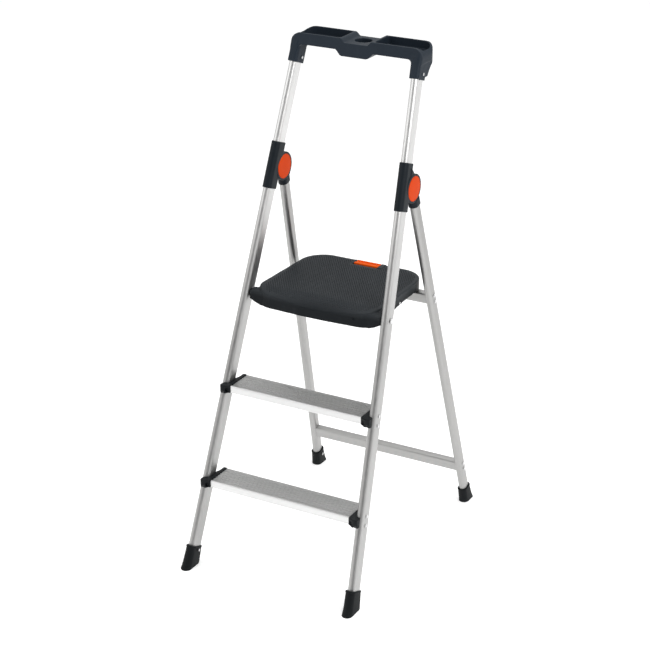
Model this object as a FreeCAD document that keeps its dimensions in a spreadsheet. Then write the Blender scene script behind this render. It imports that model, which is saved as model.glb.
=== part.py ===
import FreeCAD, Part
import Sketcher
import math
import os
from types import SimpleNamespace
from FreeCAD import Placement, Rotation, Vector

# A folding step ladder with two treads, a platform and a tool-tray handle.
# Millimetres. X across the ladder, -Y towards the person who climbs, +Z up. The origin is on
# the floor, midway between the two pairs of feet. It stands open, as in use.

doc = FreeCAD.newDocument("step_stool")
sheet = doc.addObject("Spreadsheet::Sheet", "sizes")

driving = {
    # front stiles: flat oval tubes that lean back and splay
    "stile_foot_half": 231.4,
    "stile_foot_y": -328,
    "stile_lean": 19.743,
    "stile_splay": 2.888,
    "stile_wide": 20,
    "stile_deep": 40,
    "stile_length": 1325,
    "tube_wall": 1.5,
    # rear legs
    "leg_foot_half": 227.94,
    "leg_foot_y": 333.85,
    "leg_lean": 15.769,
    "leg_splay": 2.744,
    "leg_wide": 20,
    "leg_deep": 30,
    "leg_length": 957,
    "stile_start": 12,
    "leg_start": 8,
    # the folding joint
    "joint_half": 180,
    "joint_y": 51.9,
    "joint_height": 962.4,
    "boss_radius": 34,
    "boss_half": 13,
    "sleeve_wall": 2.5,
    "sleeve_low": 917.8,
    "sleeve_length": 117,
    "cap_radius": 31,
    "cap_thick": 1.6,
    "cap_recess": 1,
    "knuckle_half": 8.5,
    "slot_half": 8.8,
    "slot_front": 9.7,
    "eye_radius": 9.3,
    "pin_radius": 4,
    "collar_top": 36,
    "collar_length": 18,
    "running_gap": 0.05,
    "push_gap": 0.02,
    # treads
    "tread_top": 226.6,
    "tread_rise": 230,
    "tread_front": 31,
    "tread_rear": 48,
    "tread_inset": 22.8,
    "tread_lip": 19,
    "tread_flange": 12,
    "tread_skin": 2,
    "bracket_nose": 40,
    "bracket_reach": 4,
    "bracket_behind": 13.5,
    "bracket_tall": 27,
    "tongue_length": 30,
    # fasteners
    "rivet_head": 4.4,
    "rivet_shank": 2.4,
    "rivet_thick": 1.3,
    "trim_rivet_head": 3.4,
    # braces
    "brace_tall": 30,
    "brace_deep": 20,
    "upper_brace_height": 645,
    "lower_brace_height": 114,
    # feet
    "foot_half": 15,
    "rear_foot_half": 14.5,
    # platform
    "deck_top": 690,
    "deck_front": -106,
    "deck_back": 195,
    "deck_half": 171,
    "deck_back_half": 166,
    "deck_corner": 60,
    "deck_skin": 4.5,
    "skirt_wall": 3.5,
    "front_wall": 16,
    "deck_pivot_height": 671.7,
    "ear_radius": 12,
    "ear_end": 183.2,
    "bush_radius": 9,
    # release lever in the platform
    "lever_half": 34,
    "lever_front": 171,
    "lever_thick": 6,
    "lever_pin_y": 174,
    "lever_pin_height": 676,
    "lever_pin_radius": 2,
    # handle with its trays
    "handle_half": 175,
    "handle_front": 111,
    "handle_back": 193,
    "handle_top": 1288.5,
    "handle_under": 1262,
    "handle_belly": 1247.5,
    "socket_wall": 3,
    "socket_low": 1214.7,
    "socket_length": 52,
    "tray_wall": 6,
    "tray_depth": 22,
    "middle_half": 38,
    "middle_drop": 9.5,
    "cup_half_x": 22,
    "cup_half_y": 20,
}
for number, (name, value) in enumerate(driving.items(), start=1):
    sheet.set("A%d" % number, name)
    sheet.set("B%d" % number, str(value))
    sheet.setAlias("B%d" % number, name)
doc.recompute()


class Size:
    # A dimension with its spreadsheet expression and its present value.
    def __init__(self, text, value):
        self.text = text
        self.value = value

    def join(self, sign, other, value):
        other_text = other.text if isinstance(other, Size) else "%.6g" % other
        return Size("(%s %s %s)" % (self.text, sign, other_text), value)

    def __add__(self, other):
        return self.join("+", other, self.value + float(other))

    def __sub__(self, other):
        return self.join("-", other, self.value - float(other))

    def __mul__(self, other):
        return self.join("*", other, self.value * float(other))

    def __truediv__(self, other):
        return self.join("/", other, self.value / float(other))

    def __neg__(self):
        return self * -1

    def __radd__(self, other):
        return self + other

    def __rsub__(self, other):
        return -self + other

    def __rmul__(self, other):
        return self * other

    def __float__(self):
        return float(self.value)


d = SimpleNamespace(**{name: Size("sizes." + name, float(sheet.get(name))) for name in driving})

x_axis = Vector(1, 0, 0)
y_axis = Vector(0, 1, 0)
upright = Rotation()
sides = (("left", -1), ("right", 1))
subparts = []


def bind(item, prop, amount):
    if isinstance(amount, Size):
        item.setExpression(prop, amount.text)
    else:
        setattr(item, prop, amount)


def at(x, y, z, turn=upright):
    return Placement(Vector(float(x), float(y), float(z)), turn)


def along_x(side=1):
    return Rotation(y_axis, 90 * side)


def keep(item, label):
    item.Label = label
    subparts.append(item)
    return item


# --- building blocks -------------------------------------------------------------------------

def block(name, frame, low, high):
    item = doc.addObject("Part::Box", name)
    for prop, start, end in zip(("Length", "Width", "Height"), low, high):
        bind(item, prop, end - start)
    item.Placement = frame * at(*low)
    return item


def rod(name, frame, radius, length):
    item = doc.addObject("Part::Cylinder", name)
    bind(item, "Radius", radius)
    bind(item, "Height", length)
    item.Placement = frame
    return item


def cut(name, base, tool):
    item = doc.addObject("Part::Cut", name)
    item.Base = base
    item.Tool = tool
    item.Refine = False
    return item


def fuse(name, shapes):
    item = doc.addObject("Part::MultiFuse", name)
    item.Shapes = shapes
    item.Refine = False
    return item


def group(name, shapes):
    item = doc.addObject("Part::Compound", name)
    item.Links = shapes
    return item


def cut_all(name, base, tools):
    for index, tool in enumerate(tools[:-1]):
        base = cut("%s_cut_%d" % (name, index), base, tool)
    return cut(name, base, tools[-1])


def new_sketch(name, plane):
    body = doc.addObject("PartDesign::Body", name)
    sketch = body.newObject("Sketcher::SketchObject", name + "_sketch")
    base = [item for item in body.Origin.OriginFeatures if item.Role == plane][0]
    sketch.AttachmentSupport = [(base, "")]
    sketch.MapMode = "FlatFace"
    return body, sketch


def pad(body, sketch, length, middle=False):
    item = body.newObject("PartDesign::Pad", body.Name + "_pad")
    item.Profile = sketch
    bind(item, "Length", length)
    item.Midplane = middle
    body.Tip = item
    return item


def hold(sketch, kind, *where):
    # a constraint whose last value may come from the sheet
    amount = where[-1]
    index = sketch.addConstraint(Sketcher.Constraint(kind, *where[:-1], float(amount)))
    if isinstance(amount, Size):
        sketch.setExpression("Constraints[%d]" % index, amount.text)


def draw_polygon(sketch, points):
    first = sketch.GeometryCount
    last = len(points) - 1
    corners = [Vector(float(a), float(b), 0) for a, b in points]
    for index, corner in enumerate(corners):
        sketch.addGeometry(Part.LineSegment(corner, corners[(index + 1) % len(corners)]))
    for index, (a, b) in enumerate(points):
        line = first + index
        after = first if index == last else line + 1
        sketch.addConstraint(Sketcher.Constraint("Coincident", line, 2, after, 1))
        hold(sketch, "DistanceX", -1, 1, line, 1, a)
        hold(sketch, "DistanceY", -1, 1, line, 1, b)


def draw_oval(sketch, wide, deep):
    # two half circles joined by two straight flanks, centred on the sketch's origin
    first = sketch.GeometryCount
    radius = float(wide) / 2
    rise = (float(deep) - float(wide)) / 2
    lift = Vector(0, rise, 0)
    flat = Vector(radius, 0, 0)
    normal = Vector(0, 0, 1)
    sketch.addGeometry(Part.ArcOfCircle(Part.Circle(lift, normal, radius), 0, math.pi))
    sketch.addGeometry(Part.LineSegment(lift - flat, -lift - flat))
    sketch.addGeometry(Part.ArcOfCircle(Part.Circle(-lift, normal, radius), math.pi, 2 * math.pi))
    sketch.addGeometry(Part.LineSegment(flat - lift, flat + lift))
    for step in range(4):
        ends = (first + step, 2, first + (step + 1) % 4, 1)
        sketch.addConstraint(Sketcher.Constraint("Tangent", *ends))
    sketch.addConstraint(Sketcher.Constraint("Vertical", first + 1))
    sketch.addConstraint(Sketcher.Constraint("PointOnObject", first, 3, -2))
    sketch.addConstraint(Sketcher.Constraint("Symmetric", first, 3, first + 2, 3, -1, 1))
    hold(sketch, "Radius", first, wide / 2)
    hold(sketch, "DistanceY", first + 2, 3, first, 3, deep - wide)


def oval_bar(name, frame, wide, deep, length, wall=None):
    body, sketch = new_sketch(name, "XY_Plane")
    draw_oval(sketch, wide, deep)
    if wall is not None:
        draw_oval(sketch, wide - 2 * wall, deep - 2 * wall)
    pad(body, sketch, length)
    body.Placement = frame
    return body


def profile(name, frame, plane, points, length, middle=True):
    body, sketch = new_sketch(name, plane)
    draw_polygon(sketch, points)
    pad(body, sketch, length, middle)
    body.Placement = frame
    return body


def round_edges(body, radius, wanted):
    # rounds the edges of the body's last feature that the test picks out
    doc.recompute()
    base = body.Tip
    names = [
        "Edge%d" % (index + 1)
        for index, edge in enumerate(base.Shape.Edges)
        if wanted(edge)
    ]
    item = body.newObject("PartDesign::Fillet", body.Name + "_round")
    item.Base = (base, names)
    bind(item, "Radius", radius)
    body.Tip = item
    return body


def runs_along(axis):
    def test(edge):
        if len(edge.Vertexes) != 2:
            return False
        run = edge.Vertexes[1].Point - edge.Vertexes[0].Point
        return run.Length > 0 and abs(run.normalize().dot(axis)) > 0.999
    return test


# --- frames ------------------------------------------------------------------------------------
# Each tube has a frame of its own: z runs up the tube, x across the ladder, y to the rear.

def stile_frame(side):
    turn = Rotation(x_axis, -float(d.stile_lean)) * Rotation(y_axis, -side * float(d.stile_splay))
    return at(side * float(d.stile_foot_half), d.stile_foot_y, 0, turn)


def leg_frame(side):
    turn = Rotation(x_axis, float(d.leg_lean)) * Rotation(y_axis, -side * float(d.leg_splay))
    return at(side * float(d.leg_foot_half), d.leg_foot_y, 0, turn)


def along(frame, height):
    # distance up a tube at which its centre line is at this height
    return float(height) / frame.Rotation.multVec(Vector(0, 0, 1)).z


def centre(frame, height):
    return frame.multVec(Vector(0, 0, along(frame, height)))


def joint_frame(side, lean):
    turn = Rotation(x_axis, lean)
    return at(side * float(d.joint_half), d.joint_y, d.joint_height, turn)


def oversize_stile(name, side, gap):
    wide = d.stile_wide + 2 * gap
    deep = d.stile_deep + 2 * gap
    return oval_bar(name, stile_frame(side) * at(0, 0, d.stile_start), wide, deep, d.stile_length)


def oversize_leg(name, side, gap):
    wide = d.leg_wide + 2 * gap
    deep = d.leg_deep + 2 * gap
    return oval_bar(name, leg_frame(side) * at(0, 0, d.leg_start), wide, deep, d.leg_length)


# --- fasteners ---------------------------------------------------------------------------------

def rivet(name, frame, side, head, thick, shank, length):
    # the head stands on the face at the frame's origin and points outwards along x
    top = rod(name + "_head", frame * at(0, 0, 0, along_x(side)), head, thick)
    stem = rod(name + "_stem", frame * at(0, 0, 0, along_x(-side)), shank, length)
    return fuse(name, [top, stem])


def drill(name, frame, side, radius, length):
    return rod(name, frame * at(0, 0, 0, along_x(-side)), radius, length)


# --- treads and their brackets -----------------------------------------------------------------

tread_names = ("lower", "upper")
rivet_drops = (3, 25)


def tread_height(level):
    return d.tread_top + level * d.tread_rise


def tread_section():
    front = -d.tread_front
    rear = d.tread_rear
    skin = d.tread_skin
    lip = -d.tread_lip
    flange = d.tread_flange
    return [
        (front, 0),
        (rear, 0),
        (rear, lip),
        (rear - flange, lip),
        (rear - flange, lip + skin),
        (rear - skin, lip + skin),
        (rear - skin, -skin),
        (front + skin, -skin),
        (front + skin, lip + skin),
        (front + flange, lip + skin),
        (front + flange, lip),
        (front, lip),
    ]


def make_tread(level):
    word = tread_names[level]
    height = tread_height(level)
    middle = centre(stile_frame(1), height)
    half = middle.x - float(d.tread_inset)
    frame = at(0, middle.y, height)
    body = profile("tread_" + word, frame, "YZ_Plane", tread_section(), 2 * half)
    keep(body, "tread_" + word)


def make_bracket(level, word, side):
    name = "tread_bracket_%s_%s" % (tread_names[level], word)
    height = tread_height(level)
    middle = centre(stile_frame(side), height)
    frame = at(middle.x, middle.y, height)
    wide = d.tread_inset + d.bracket_reach
    shift = side * (float(d.bracket_reach) - float(d.tread_inset)) / 2
    nose = -d.bracket_nose
    rear = d.tread_rear
    foot = -d.bracket_tall
    points = [
        (nose, -4 * d.tread_skin),
        (nose + 5, 0.5 * d.tread_skin),
        (rear - 3, 0.5 * d.tread_skin),
        (rear, -d.tread_skin),
        (rear, -d.tread_lip),
        (rear - 22, foot),
        (nose + 14, foot),
        (nose, foot + 8),
    ]
    outer = profile(name + "_outer", frame * at(shift, 0, 0), "YZ_Plane", points, wide)
    inboard = -side * float(d.tread_inset)
    reach = -side * (float(d.tread_inset) + float(d.tongue_length))
    skin_gap = d.tread_skin + d.running_gap
    tongue = block(
        name + "_tongue",
        frame * at(min(inboard, reach), 0, 0),
        (0, -d.tread_front + 12, -d.tread_lip + 4),
        (d.tongue_length, d.tread_rear - 12, -skin_gap),
    )
    stile = oversize_stile(name + "_stile", side, d.push_gap)
    # the folded rear leg lies behind the stile, so nothing stands there
    clear_low = -float(d.bracket_behind) if side > 0 else -46.5
    clear = block(
        name + "_clear",
        stile_frame(side) * at(clear_low, -2, along(stile_frame(side), height) - 90),
        (0, 0, 0),
        (d.bracket_behind + 46.5, 90, 180),
    )
    whole = fuse(name + "_whole", [outer, tongue])
    keep(cut_all(name, whole, [stile, clear]), name)


def stile_rivet_frames(side):
    frame = stile_frame(side)
    face = side * float(d.stile_wide) / 2
    for level in range(2):
        for drop in rivet_drops:
            height = float(tread_height(level)) - drop
            yield frame * at(face, 0, along(frame, height))


def make_tread_rivets(word, side):
    rivets = []
    for index, frame in enumerate(stile_rivet_frames(side)):
        name = "tread_rivet_%s_%d" % (word, index)
        rivets.append(rivet(name, frame, side, d.rivet_head, d.rivet_thick, d.rivet_shank, d.stile_wide))
    keep(group("tread_rivets_" + word, rivets), "tread_rivets_" + word)


# --- stiles ------------------------------------------------------------------------------------

def deck_pivot(side):
    return centre(stile_frame(side), d.deck_pivot_height)


def pin_frame(side):
    spot = deck_pivot(side)
    return at(spot.x, spot.y, spot.z)


def make_stile(word, side):
    name = "stile_" + word
    frame = stile_frame(side) * at(0, 0, d.stile_start)
    tube = oval_bar(name + "_tube", frame, d.stile_wide, d.stile_deep, d.stile_length, d.tube_wall)
    holes = []
    for index, spot in enumerate(stile_rivet_frames(side)):
        outside = spot * at(side * 2, 0, 0)
        hole = "%s_hole_%d" % (name, index)
        holes.append(drill(hole, outside, side, d.rivet_shank, d.stile_wide + 4))
    pivot = pin_frame(side) * at(-side * 20, 0, 0, along_x(side))
    holes.append(rod(name + "_pivot_hole", pivot, d.pin_radius, 2 * d.stile_wide))
    keep(cut_all(name, tube, holes), name)


# --- folding joint -----------------------------------------------------------------------------

def make_sleeve(word, side):
    name = "joint_sleeve_" + word
    frame = stile_frame(side)
    low = along(frame, d.sleeve_low)
    wide = d.stile_wide + 2 * d.sleeve_wall
    deep = d.stile_deep + 2 * d.sleeve_wall
    outer = oval_bar(name + "_outer", frame * at(0, 0, low), wide, deep, d.sleeve_length)
    pivot = joint_frame(side, -float(d.stile_lean))
    across = pivot * at(-float(d.boss_half), 0, 0, along_x())
    boss = rod(name + "_boss", across, d.boss_radius, 2 * d.boss_half)
    slot = block(
        name + "_slot",
        pivot,
        (-d.slot_half, -d.slot_front, -d.boss_radius - 20),
        (d.slot_half, d.boss_radius + 2, d.boss_radius + 20),
    )
    pin_hole = rod(name + "_pin_hole", across * at(0, 0, -5), d.pin_radius, 2 * d.boss_half + 10)
    recess_radius = d.cap_radius + d.push_gap
    recesses = []
    for end, way in (("outer", side), ("inner", -side)):
        floor = way * (float(d.boss_half) - float(d.cap_recess))
        spot = pivot * at(floor, 0, 0, along_x(way))
        recesses.append(rod("%s_%s_recess" % (name, end), spot, recess_radius, d.cap_recess + 5))
    stile = oversize_stile(name + "_bore", side, d.push_gap)
    whole = fuse(name + "_whole", [outer, boss])
    keep(cut_all(name, whole, [slot, pin_hole, stile] + recesses), name)


def make_caps(word, side):
    pivot = joint_frame(side, -float(d.stile_lean))
    for end, way in (("outer", side), ("inner", -side)):
        name = "joint_cap_%s_%s" % (word, end)
        floor = way * (float(d.boss_half) - float(d.cap_recess))
        body, sketch = new_sketch(name, "XZ_Plane")
        # half section of a shallow dome, turned about the upright axis
        radius = d.cap_radius
        points = [
            (0, 0),
            (radius, 0),
            (radius, d.cap_recess),
            (radius - 2, d.cap_thick),
            (0, d.cap_thick),
        ]
        draw_polygon(sketch, points)
        turned = body.newObject("PartDesign::Revolution", name + "_turn")
        turned.Profile = sketch
        turned.ReferenceAxis = (sketch, ["V_Axis"])
        turned.Angle = 360
        body.Tip = turned
        body.Placement = pivot * at(floor, 0, 0, along_x(way))
        keep(body, name)


def make_joint_pin(word, side):
    reach = d.boss_half - d.cap_recess
    frame = joint_frame(side, 0) * at(-float(reach), 0, 0, along_x())
    keep(rod("joint_pin_" + word, frame, d.pin_radius, 2 * reach), "joint_pin_" + word)


def leg_joint_height(side):
    # distance up the leg that is level, square to the leg, with the joint's axis
    spot = leg_frame(side).inverse().multVec(joint_frame(side, 0).Base)
    return spot.z


def make_knuckle(word, side):
    name = "leg_knuckle_" + word
    pivot = joint_frame(side, float(d.leg_lean))
    offset = -(leg_frame(side).inverse().multVec(joint_frame(side, 0).Base)).y
    eye = rod(name + "_eye", pivot * at(-float(d.knuckle_half), 0, 0, along_x()), d.eye_radius, 2 * d.knuckle_half)
    deep = d.leg_deep / 2 + d.sleeve_wall
    front = -deep + offset
    rear = deep + offset
    root = -d.collar_top - 2
    points = [
        (-d.eye_radius, 0),
        (front, root),
        (rear, root),
        (rear, root + 12),
        (d.eye_radius, 0),
    ]
    blade = profile(name + "_blade", pivot, "YZ_Plane", points, 2 * d.knuckle_half)
    frame = leg_frame(side)
    top = leg_joint_height(side) - float(d.collar_top)
    wide = d.leg_wide + 2 * d.sleeve_wall
    low = top - float(d.collar_length)
    collar = oval_bar(name + "_collar", frame * at(0, 0, low), wide, 2 * deep, d.collar_length)
    bore = rod(name + "_bore", pivot * at(-20, 0, 0, along_x()), d.pin_radius + d.running_gap, 40)
    socket = oversize_leg(name + "_socket", side, d.push_gap)
    whole = fuse(name + "_whole", [eye, blade, collar])
    keep(cut_all(name, whole, [bore, socket]), name)


# --- rear frame --------------------------------------------------------------------------------

brace_heights = {"upper": d.upper_brace_height, "lower": d.lower_brace_height}
brace_rivet_offsets = (-9, 9)


def brace_rivet_frames(side):
    frame = leg_frame(side)
    for height in brace_heights.values():
        for offset in brace_rivet_offsets:
            yield frame * at(side * float(d.leg_wide) / 2, 0, along(frame, height) + offset)


def make_leg(word, side):
    name = "rear_leg_" + word
    frame = leg_frame(side) * at(0, 0, d.leg_start)
    tube = oval_bar(name + "_tube", frame, d.leg_wide, d.leg_deep, d.leg_length, d.tube_wall)
    holes = []
    for index, spot in enumerate(brace_rivet_frames(side)):
        outside = spot * at(side * 2, 0, 0)
        holes.append(drill("%s_hole_%d" % (name, index), outside, side, d.rivet_shank, d.leg_wide + 4))
    keep(cut_all(name, tube, holes), name)


def make_brace(word):
    name = word + "_brace"
    height = brace_heights[word]
    middle = centre(leg_frame(1), height)
    frame = at(0, middle.y, middle.z, Rotation(x_axis, float(d.leg_lean)))
    reach = middle.x
    tall = d.brace_tall / 2
    deep = d.brace_deep / 2
    outer = profile(name + "_outer", frame, "YZ_Plane", rectangle(deep, tall), 2 * reach)
    round_edges(outer, 5, runs_along(x_axis))
    wall = d.tube_wall
    inner = profile(name + "_inner", frame, "YZ_Plane", rectangle(deep - wall, tall - wall), 2 * reach + 10)
    legs = [oversize_leg("%s_leg_%s" % (name, word_side), side, d.push_gap) for word_side, side in sides]
    keep(cut_all(name, outer, [inner] + legs), name)


def rectangle(half_a, half_b):
    return [(-half_a, -half_b), (half_a, -half_b), (half_a, half_b), (-half_a, half_b)]


def make_brace_rivets(word, side):
    rivets = []
    for index, frame in enumerate(brace_rivet_frames(side)):
        name = "brace_rivet_%s_%d" % (word, index)
        rivets.append(rivet(name, frame, side, d.rivet_head, d.rivet_thick, d.rivet_shank, d.leg_wide))
    keep(group("brace_rivets_" + word, rivets), "brace_rivets_" + word)


# --- feet --------------------------------------------------------------------------------------
# A boot's side outline runs toe, heel, rear of the rim, front of the rim. The rim is square to
# its tube.

front_boot = [(-34.5, 0), (28, 0), (30, 12), (42.5, 50), (-2, 66), (-31, 14)]
rear_boot = [(-25, 0), (28.5, 0), (26.5, 12), (6, 49), (-30.5, 39), (-26, 12)]


def foot_rivet_frame(frame, side, half, height):
    # on the boot's inner flank
    return frame * at(-side * (half + 0.1), 0, along(frame, height))


def make_foot(name, frame, side, outline, half, bore, rivet_height):
    floor_spot = frame.Base
    rise = frame.Rotation.multVec(Vector(0, 0, 1))
    splay = Rotation(y_axis, math.degrees(math.atan2(rise.x, rise.z)))
    place = at(floor_spot.x, floor_spot.y, 0, splay)
    # the outline's floor corners start below the floor, and the floor plane trims them
    points = [(a, b if b > 0 else -3) for a, b in outline]
    boot = profile(name + "_boot", place, "YZ_Plane", points, 2 * half)
    under = block(
        name + "_under",
        at(floor_spot.x, floor_spot.y, 0),
        (-2 * d.foot_half - 10, -4 * d.foot_half, -d.foot_half),
        (2 * d.foot_half + 10, 4 * d.foot_half, 0),
    )
    spot = foot_rivet_frame(frame, side, float(half), rivet_height)
    hole = drill(name + "_rivet_hole", spot * at(-side, 0, 0), -side, d.rivet_shank, 2 * d.sleeve_wall)
    keep(cut_all(name, boot, [under, bore, hole]), name)


def make_feet(word, side):
    stile_bore = oversize_stile("front_foot_bore_" + word, side, d.push_gap)
    make_foot("front_foot_" + word, stile_frame(side), side, front_boot, d.foot_half, stile_bore, 42)
    leg_bore = oversize_leg("rear_foot_bore_" + word, side, d.push_gap)
    make_foot("rear_foot_" + word, leg_frame(side), side, rear_boot, d.rear_foot_half, leg_bore, 32)


def make_foot_rivets():
    for name, frame_of, half, height, stem in (
        ("front_foot_rivets", stile_frame, d.foot_half, 42, 3.5),
        ("rear_foot_rivets", leg_frame, d.rear_foot_half, 32, 3),
    ):
        rivets = []
        for word, side in sides:
            spot = foot_rivet_frame(frame_of(side), side, float(half), height)
            part = name + "_" + word
            rivets.append(rivet(part, spot, -side, d.trim_rivet_head, d.rivet_thick, d.rivet_shank, stem))
        keep(group(name, rivets), name)


# --- platform ----------------------------------------------------------------------------------

def deck_plan(inset, front_inset=None):
    front = d.deck_front + (inset if front_inset is None else front_inset)
    back = d.deck_back - inset
    return [
        (-d.deck_half + inset, front),
        (d.deck_half - inset, front),
        (d.deck_back_half - inset, back),
        (-d.deck_back_half + inset, back),
    ]


def deck_side():
    front = d.deck_front
    back = d.deck_back
    top = d.deck_top
    return [
        (front, top - 45),
        (front, top - 14),
        (front + 4, top - 6),
        (front + 14, top),
        (back, top),
        (back, top - 26),
        (back - 95, top - 26),
        (front + 86, top - 33),
        (front + 40, top - 43),
        (front + 22, top - 45),
    ]


def upright_edge(edge):
    return runs_along(Vector(0, 0, 1))(edge)


def make_deck():
    body = profile("deck_plan", at(0, 0, d.deck_top - 60), "XY_Plane", deck_plan(0), 70, False)
    round_edges(body, d.deck_corner, upright_edge)
    side = profile("deck_side", at(0, 0, 0), "YZ_Plane", deck_side(), 2 * d.deck_half)
    shell = doc.addObject("Part::Common", "deck_shell")
    shell.Base = body
    shell.Tool = side
    hollow_top = d.deck_top - 60
    hollow = profile("deck_hollow", at(0, 0, hollow_top), "XY_Plane", 
                     deck_plan(d.skirt_wall, d.front_wall), 60 - d.deck_skin, False)
    round_edges(hollow, d.deck_corner - d.skirt_wall, upright_edge)
    shelled = cut("deck_shelled", shell, hollow)
    ears = []
    for word, way in sides:
        spot = deck_pivot(way)
        reach = way * (float(d.deck_half) - 18)
        length = d.ear_end - d.deck_half + 18
        frame = at(reach, spot.y, spot.z, along_x(way))
        ears.append(rod("deck_ear_" + word, frame, d.ear_radius, length))
        lug_low = float(d.lever_half) + 2
        ears.append(
            block(
                "deck_lug_" + word,
                at(lug_low if way > 0 else -lug_low - 8, d.lever_pin_y - 8, d.lever_pin_height - 7),
                (0, 0, 0),
                (8, 17, d.deck_top - d.lever_pin_height + 6),
            )
        )
    ribs = [
        block(
            "deck_rib_%d" % index,
            at(0, rib_y, 0),
            (-d.deck_back_half + 2, 0, d.deck_top - 22),
            (d.deck_back_half - 2, d.skirt_wall, d.deck_top - d.deck_skin),
        )
        for index, rib_y in enumerate((-40, 30, 100))
    ]
    whole = fuse("deck_whole", [shelled] + ears + ribs)
    holes = []
    pivot = deck_pivot(1)
    bore = at(-220, pivot.y, pivot.z, along_x())
    ear_bore = d.pin_radius + d.running_gap
    holes.append(rod("deck_bore", bore, ear_bore, 440))
    lever_well = block(
        "deck_lever_well",
        at(0, 0, 0),
        (-d.lever_half - 1, d.lever_front - 8, d.deck_top - 60),
        (d.lever_half + 1, d.deck_back + 5, d.deck_top + 5),
    )
    holes.append(lever_well)
    pin_hole = at(-60, d.lever_pin_y, d.lever_pin_height, along_x())
    holes.append(rod("deck_lever_pin_hole", pin_hole, d.lever_pin_radius, 120))
    for word, way in sides:
        spot = skirt_rivet_frame(way) * at(way, 0, 0)
        holes.append(drill("deck_rivet_hole_" + word, spot, way, d.rivet_shank, d.skirt_wall + 3))
    keep(cut_all("platform_deck", whole, holes), "platform_deck")


def make_deck_pins(word, side):
    spot = pin_frame(side)
    inner = float(d.deck_half) - 14
    outer = abs(spot.Base.x) + float(d.stile_wide) / 2 + 1
    shank = rod(
        "platform_pin_shank_" + word,
        at(side * inner, spot.Base.y, spot.Base.z, along_x(side)),
        d.pin_radius,
        outer - inner + 1,
    )
    head = rod(
        "platform_pin_head_" + word,
        at(side * outer, spot.Base.y, spot.Base.z, along_x(side)),
        d.pin_radius * 1.7,
        2,
    )
    keep(fuse("platform_pin_" + word, [shank, head]), "platform_pin_" + word)
    ring = at(side * (float(d.ear_end) + 0.2), spot.Base.y, spot.Base.z, along_x(side))
    disc = rod("platform_bush_disc_" + word, ring, d.bush_radius, 1.5)
    hole = rod("platform_bush_hole_" + word, ring * at(0, 0, -1), d.pin_radius, 5)
    keep(cut("platform_bush_" + word, disc, hole), "platform_bush_" + word)


def make_hooks():
    top = d.deck_top - 6
    under = d.deck_top - 26.5
    arm_top = under + 5.5
    hook = [
        (125, top),
        (148, top),
        (153, arm_top),
        (171, arm_top),
        (177, arm_top - 5),
        (176, top - 36),
        (168, top - 36),
        (167, under),
        (125, under),
    ]
    for word, side in sides:
        name = "platform_hook_" + word
        spot = at(side * 164.4, 0, 0)
        body = profile(name + "_arm", spot, "YZ_Plane", hook, 4.4)
        # the platform's sides draw in to the rear, so the arm is cut to their taper
        side_plan = profile(name + "_side", at(0, 0, 600), "XY_Plane", deck_plan(-d.push_gap), 120, False)
        round_edges(side_plan, d.deck_corner, upright_edge)
        keep(cut(name, body, side_plan), name)


def skirt_rivet_frame(side):
    # on the side skirt, whose plan draws in a little to the rear
    y = 31
    part_way = (y - float(d.deck_front)) / (float(d.deck_back) - float(d.deck_front))
    half = float(d.deck_half) + part_way * (float(d.deck_back_half) - float(d.deck_half))
    return at(side * (half + 0.05), y, 668)


def make_skirt_rivets():
    rivets = [
        rivet("skirt_rivet_" + word, skirt_rivet_frame(side), side, d.trim_rivet_head, d.rivet_thick,
              d.rivet_shank, d.skirt_wall)
        for word, side in sides
    ]
    keep(group("skirt_rivets", rivets), "skirt_rivets")


def make_lever():
    pin = at(0, d.lever_pin_y, d.lever_pin_height)
    top = d.deck_top + 1 - d.lever_pin_height
    points = [
        (-3, -4),
        (-3, top - 1),
        (0, top),
        (d.deck_back - d.lever_pin_y - 1, top),
        (d.deck_back - d.lever_pin_y, top - 3),
        (d.deck_back - d.lever_pin_y, top - d.lever_thick),
        (7, top - d.lever_thick),
        (3, 1),
        (1, -28),
        (-3, -28),
    ]
    plate = profile("lever_plate", pin, "YZ_Plane", points, 2 * d.lever_half)
    eye = rod("lever_eye", pin * at(-float(d.lever_half), 0, 0, along_x()), 2.2 * d.lever_pin_radius, 2 * d.lever_half)
    bore_radius = d.lever_pin_radius + d.running_gap
    bore = rod("lever_bore", pin * at(-60, 0, 0, along_x()), bore_radius, 120)
    room = block(
        "lever_spring_room",
        pin,
        (-8, -9, -6),
        (8, 9, top - d.lever_thick),
    )
    lever_tongue = 20
    sides_cut = [
        block(
            "lever_side_cut_" + word,
            pin * at(-60 if side < 0 else lever_tongue, 0, 0),
            (0, -9, -40),
            (60 - lever_tongue, 9, -6),
        )
        for word, side in sides
    ]
    whole = fuse("lever_whole", [plate, eye])
    keep(cut_all("latch_lever", whole, [bore, room] + sides_cut), "latch_lever")
    rod_frame = pin * at(-float(d.lever_half) - 9, 0, 0, along_x())
    keep(rod("latch_pin", rod_frame, d.lever_pin_radius, 2 * d.lever_half + 18), "latch_pin")
    coil_frame = pin * at(-7, 0, 0, along_x())
    coil = rod("latch_spring_coil", coil_frame, 2 * d.lever_pin_radius, 14)
    coil_hole = rod("latch_spring_hole", coil_frame * at(0, 0, -1), 1.2 * d.lever_pin_radius, 16)
    keep(cut("latch_spring", coil, coil_hole), "latch_spring")


# --- handle ------------------------------------------------------------------------------------

def handle_outline():
    half = d.handle_half
    top = d.handle_top
    low = d.handle_top - d.middle_drop
    middle = d.middle_half
    right = [
        (middle - 6, low),
        (middle, top),
        (half - 20, top),
        (half - 6, top - 6),
        (half, top - 20),
        (half, d.handle_under),
        (54, d.handle_under),
        (36, d.handle_belly),
    ]
    return right + [(-a, b) for a, b in reversed(right)]


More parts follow.
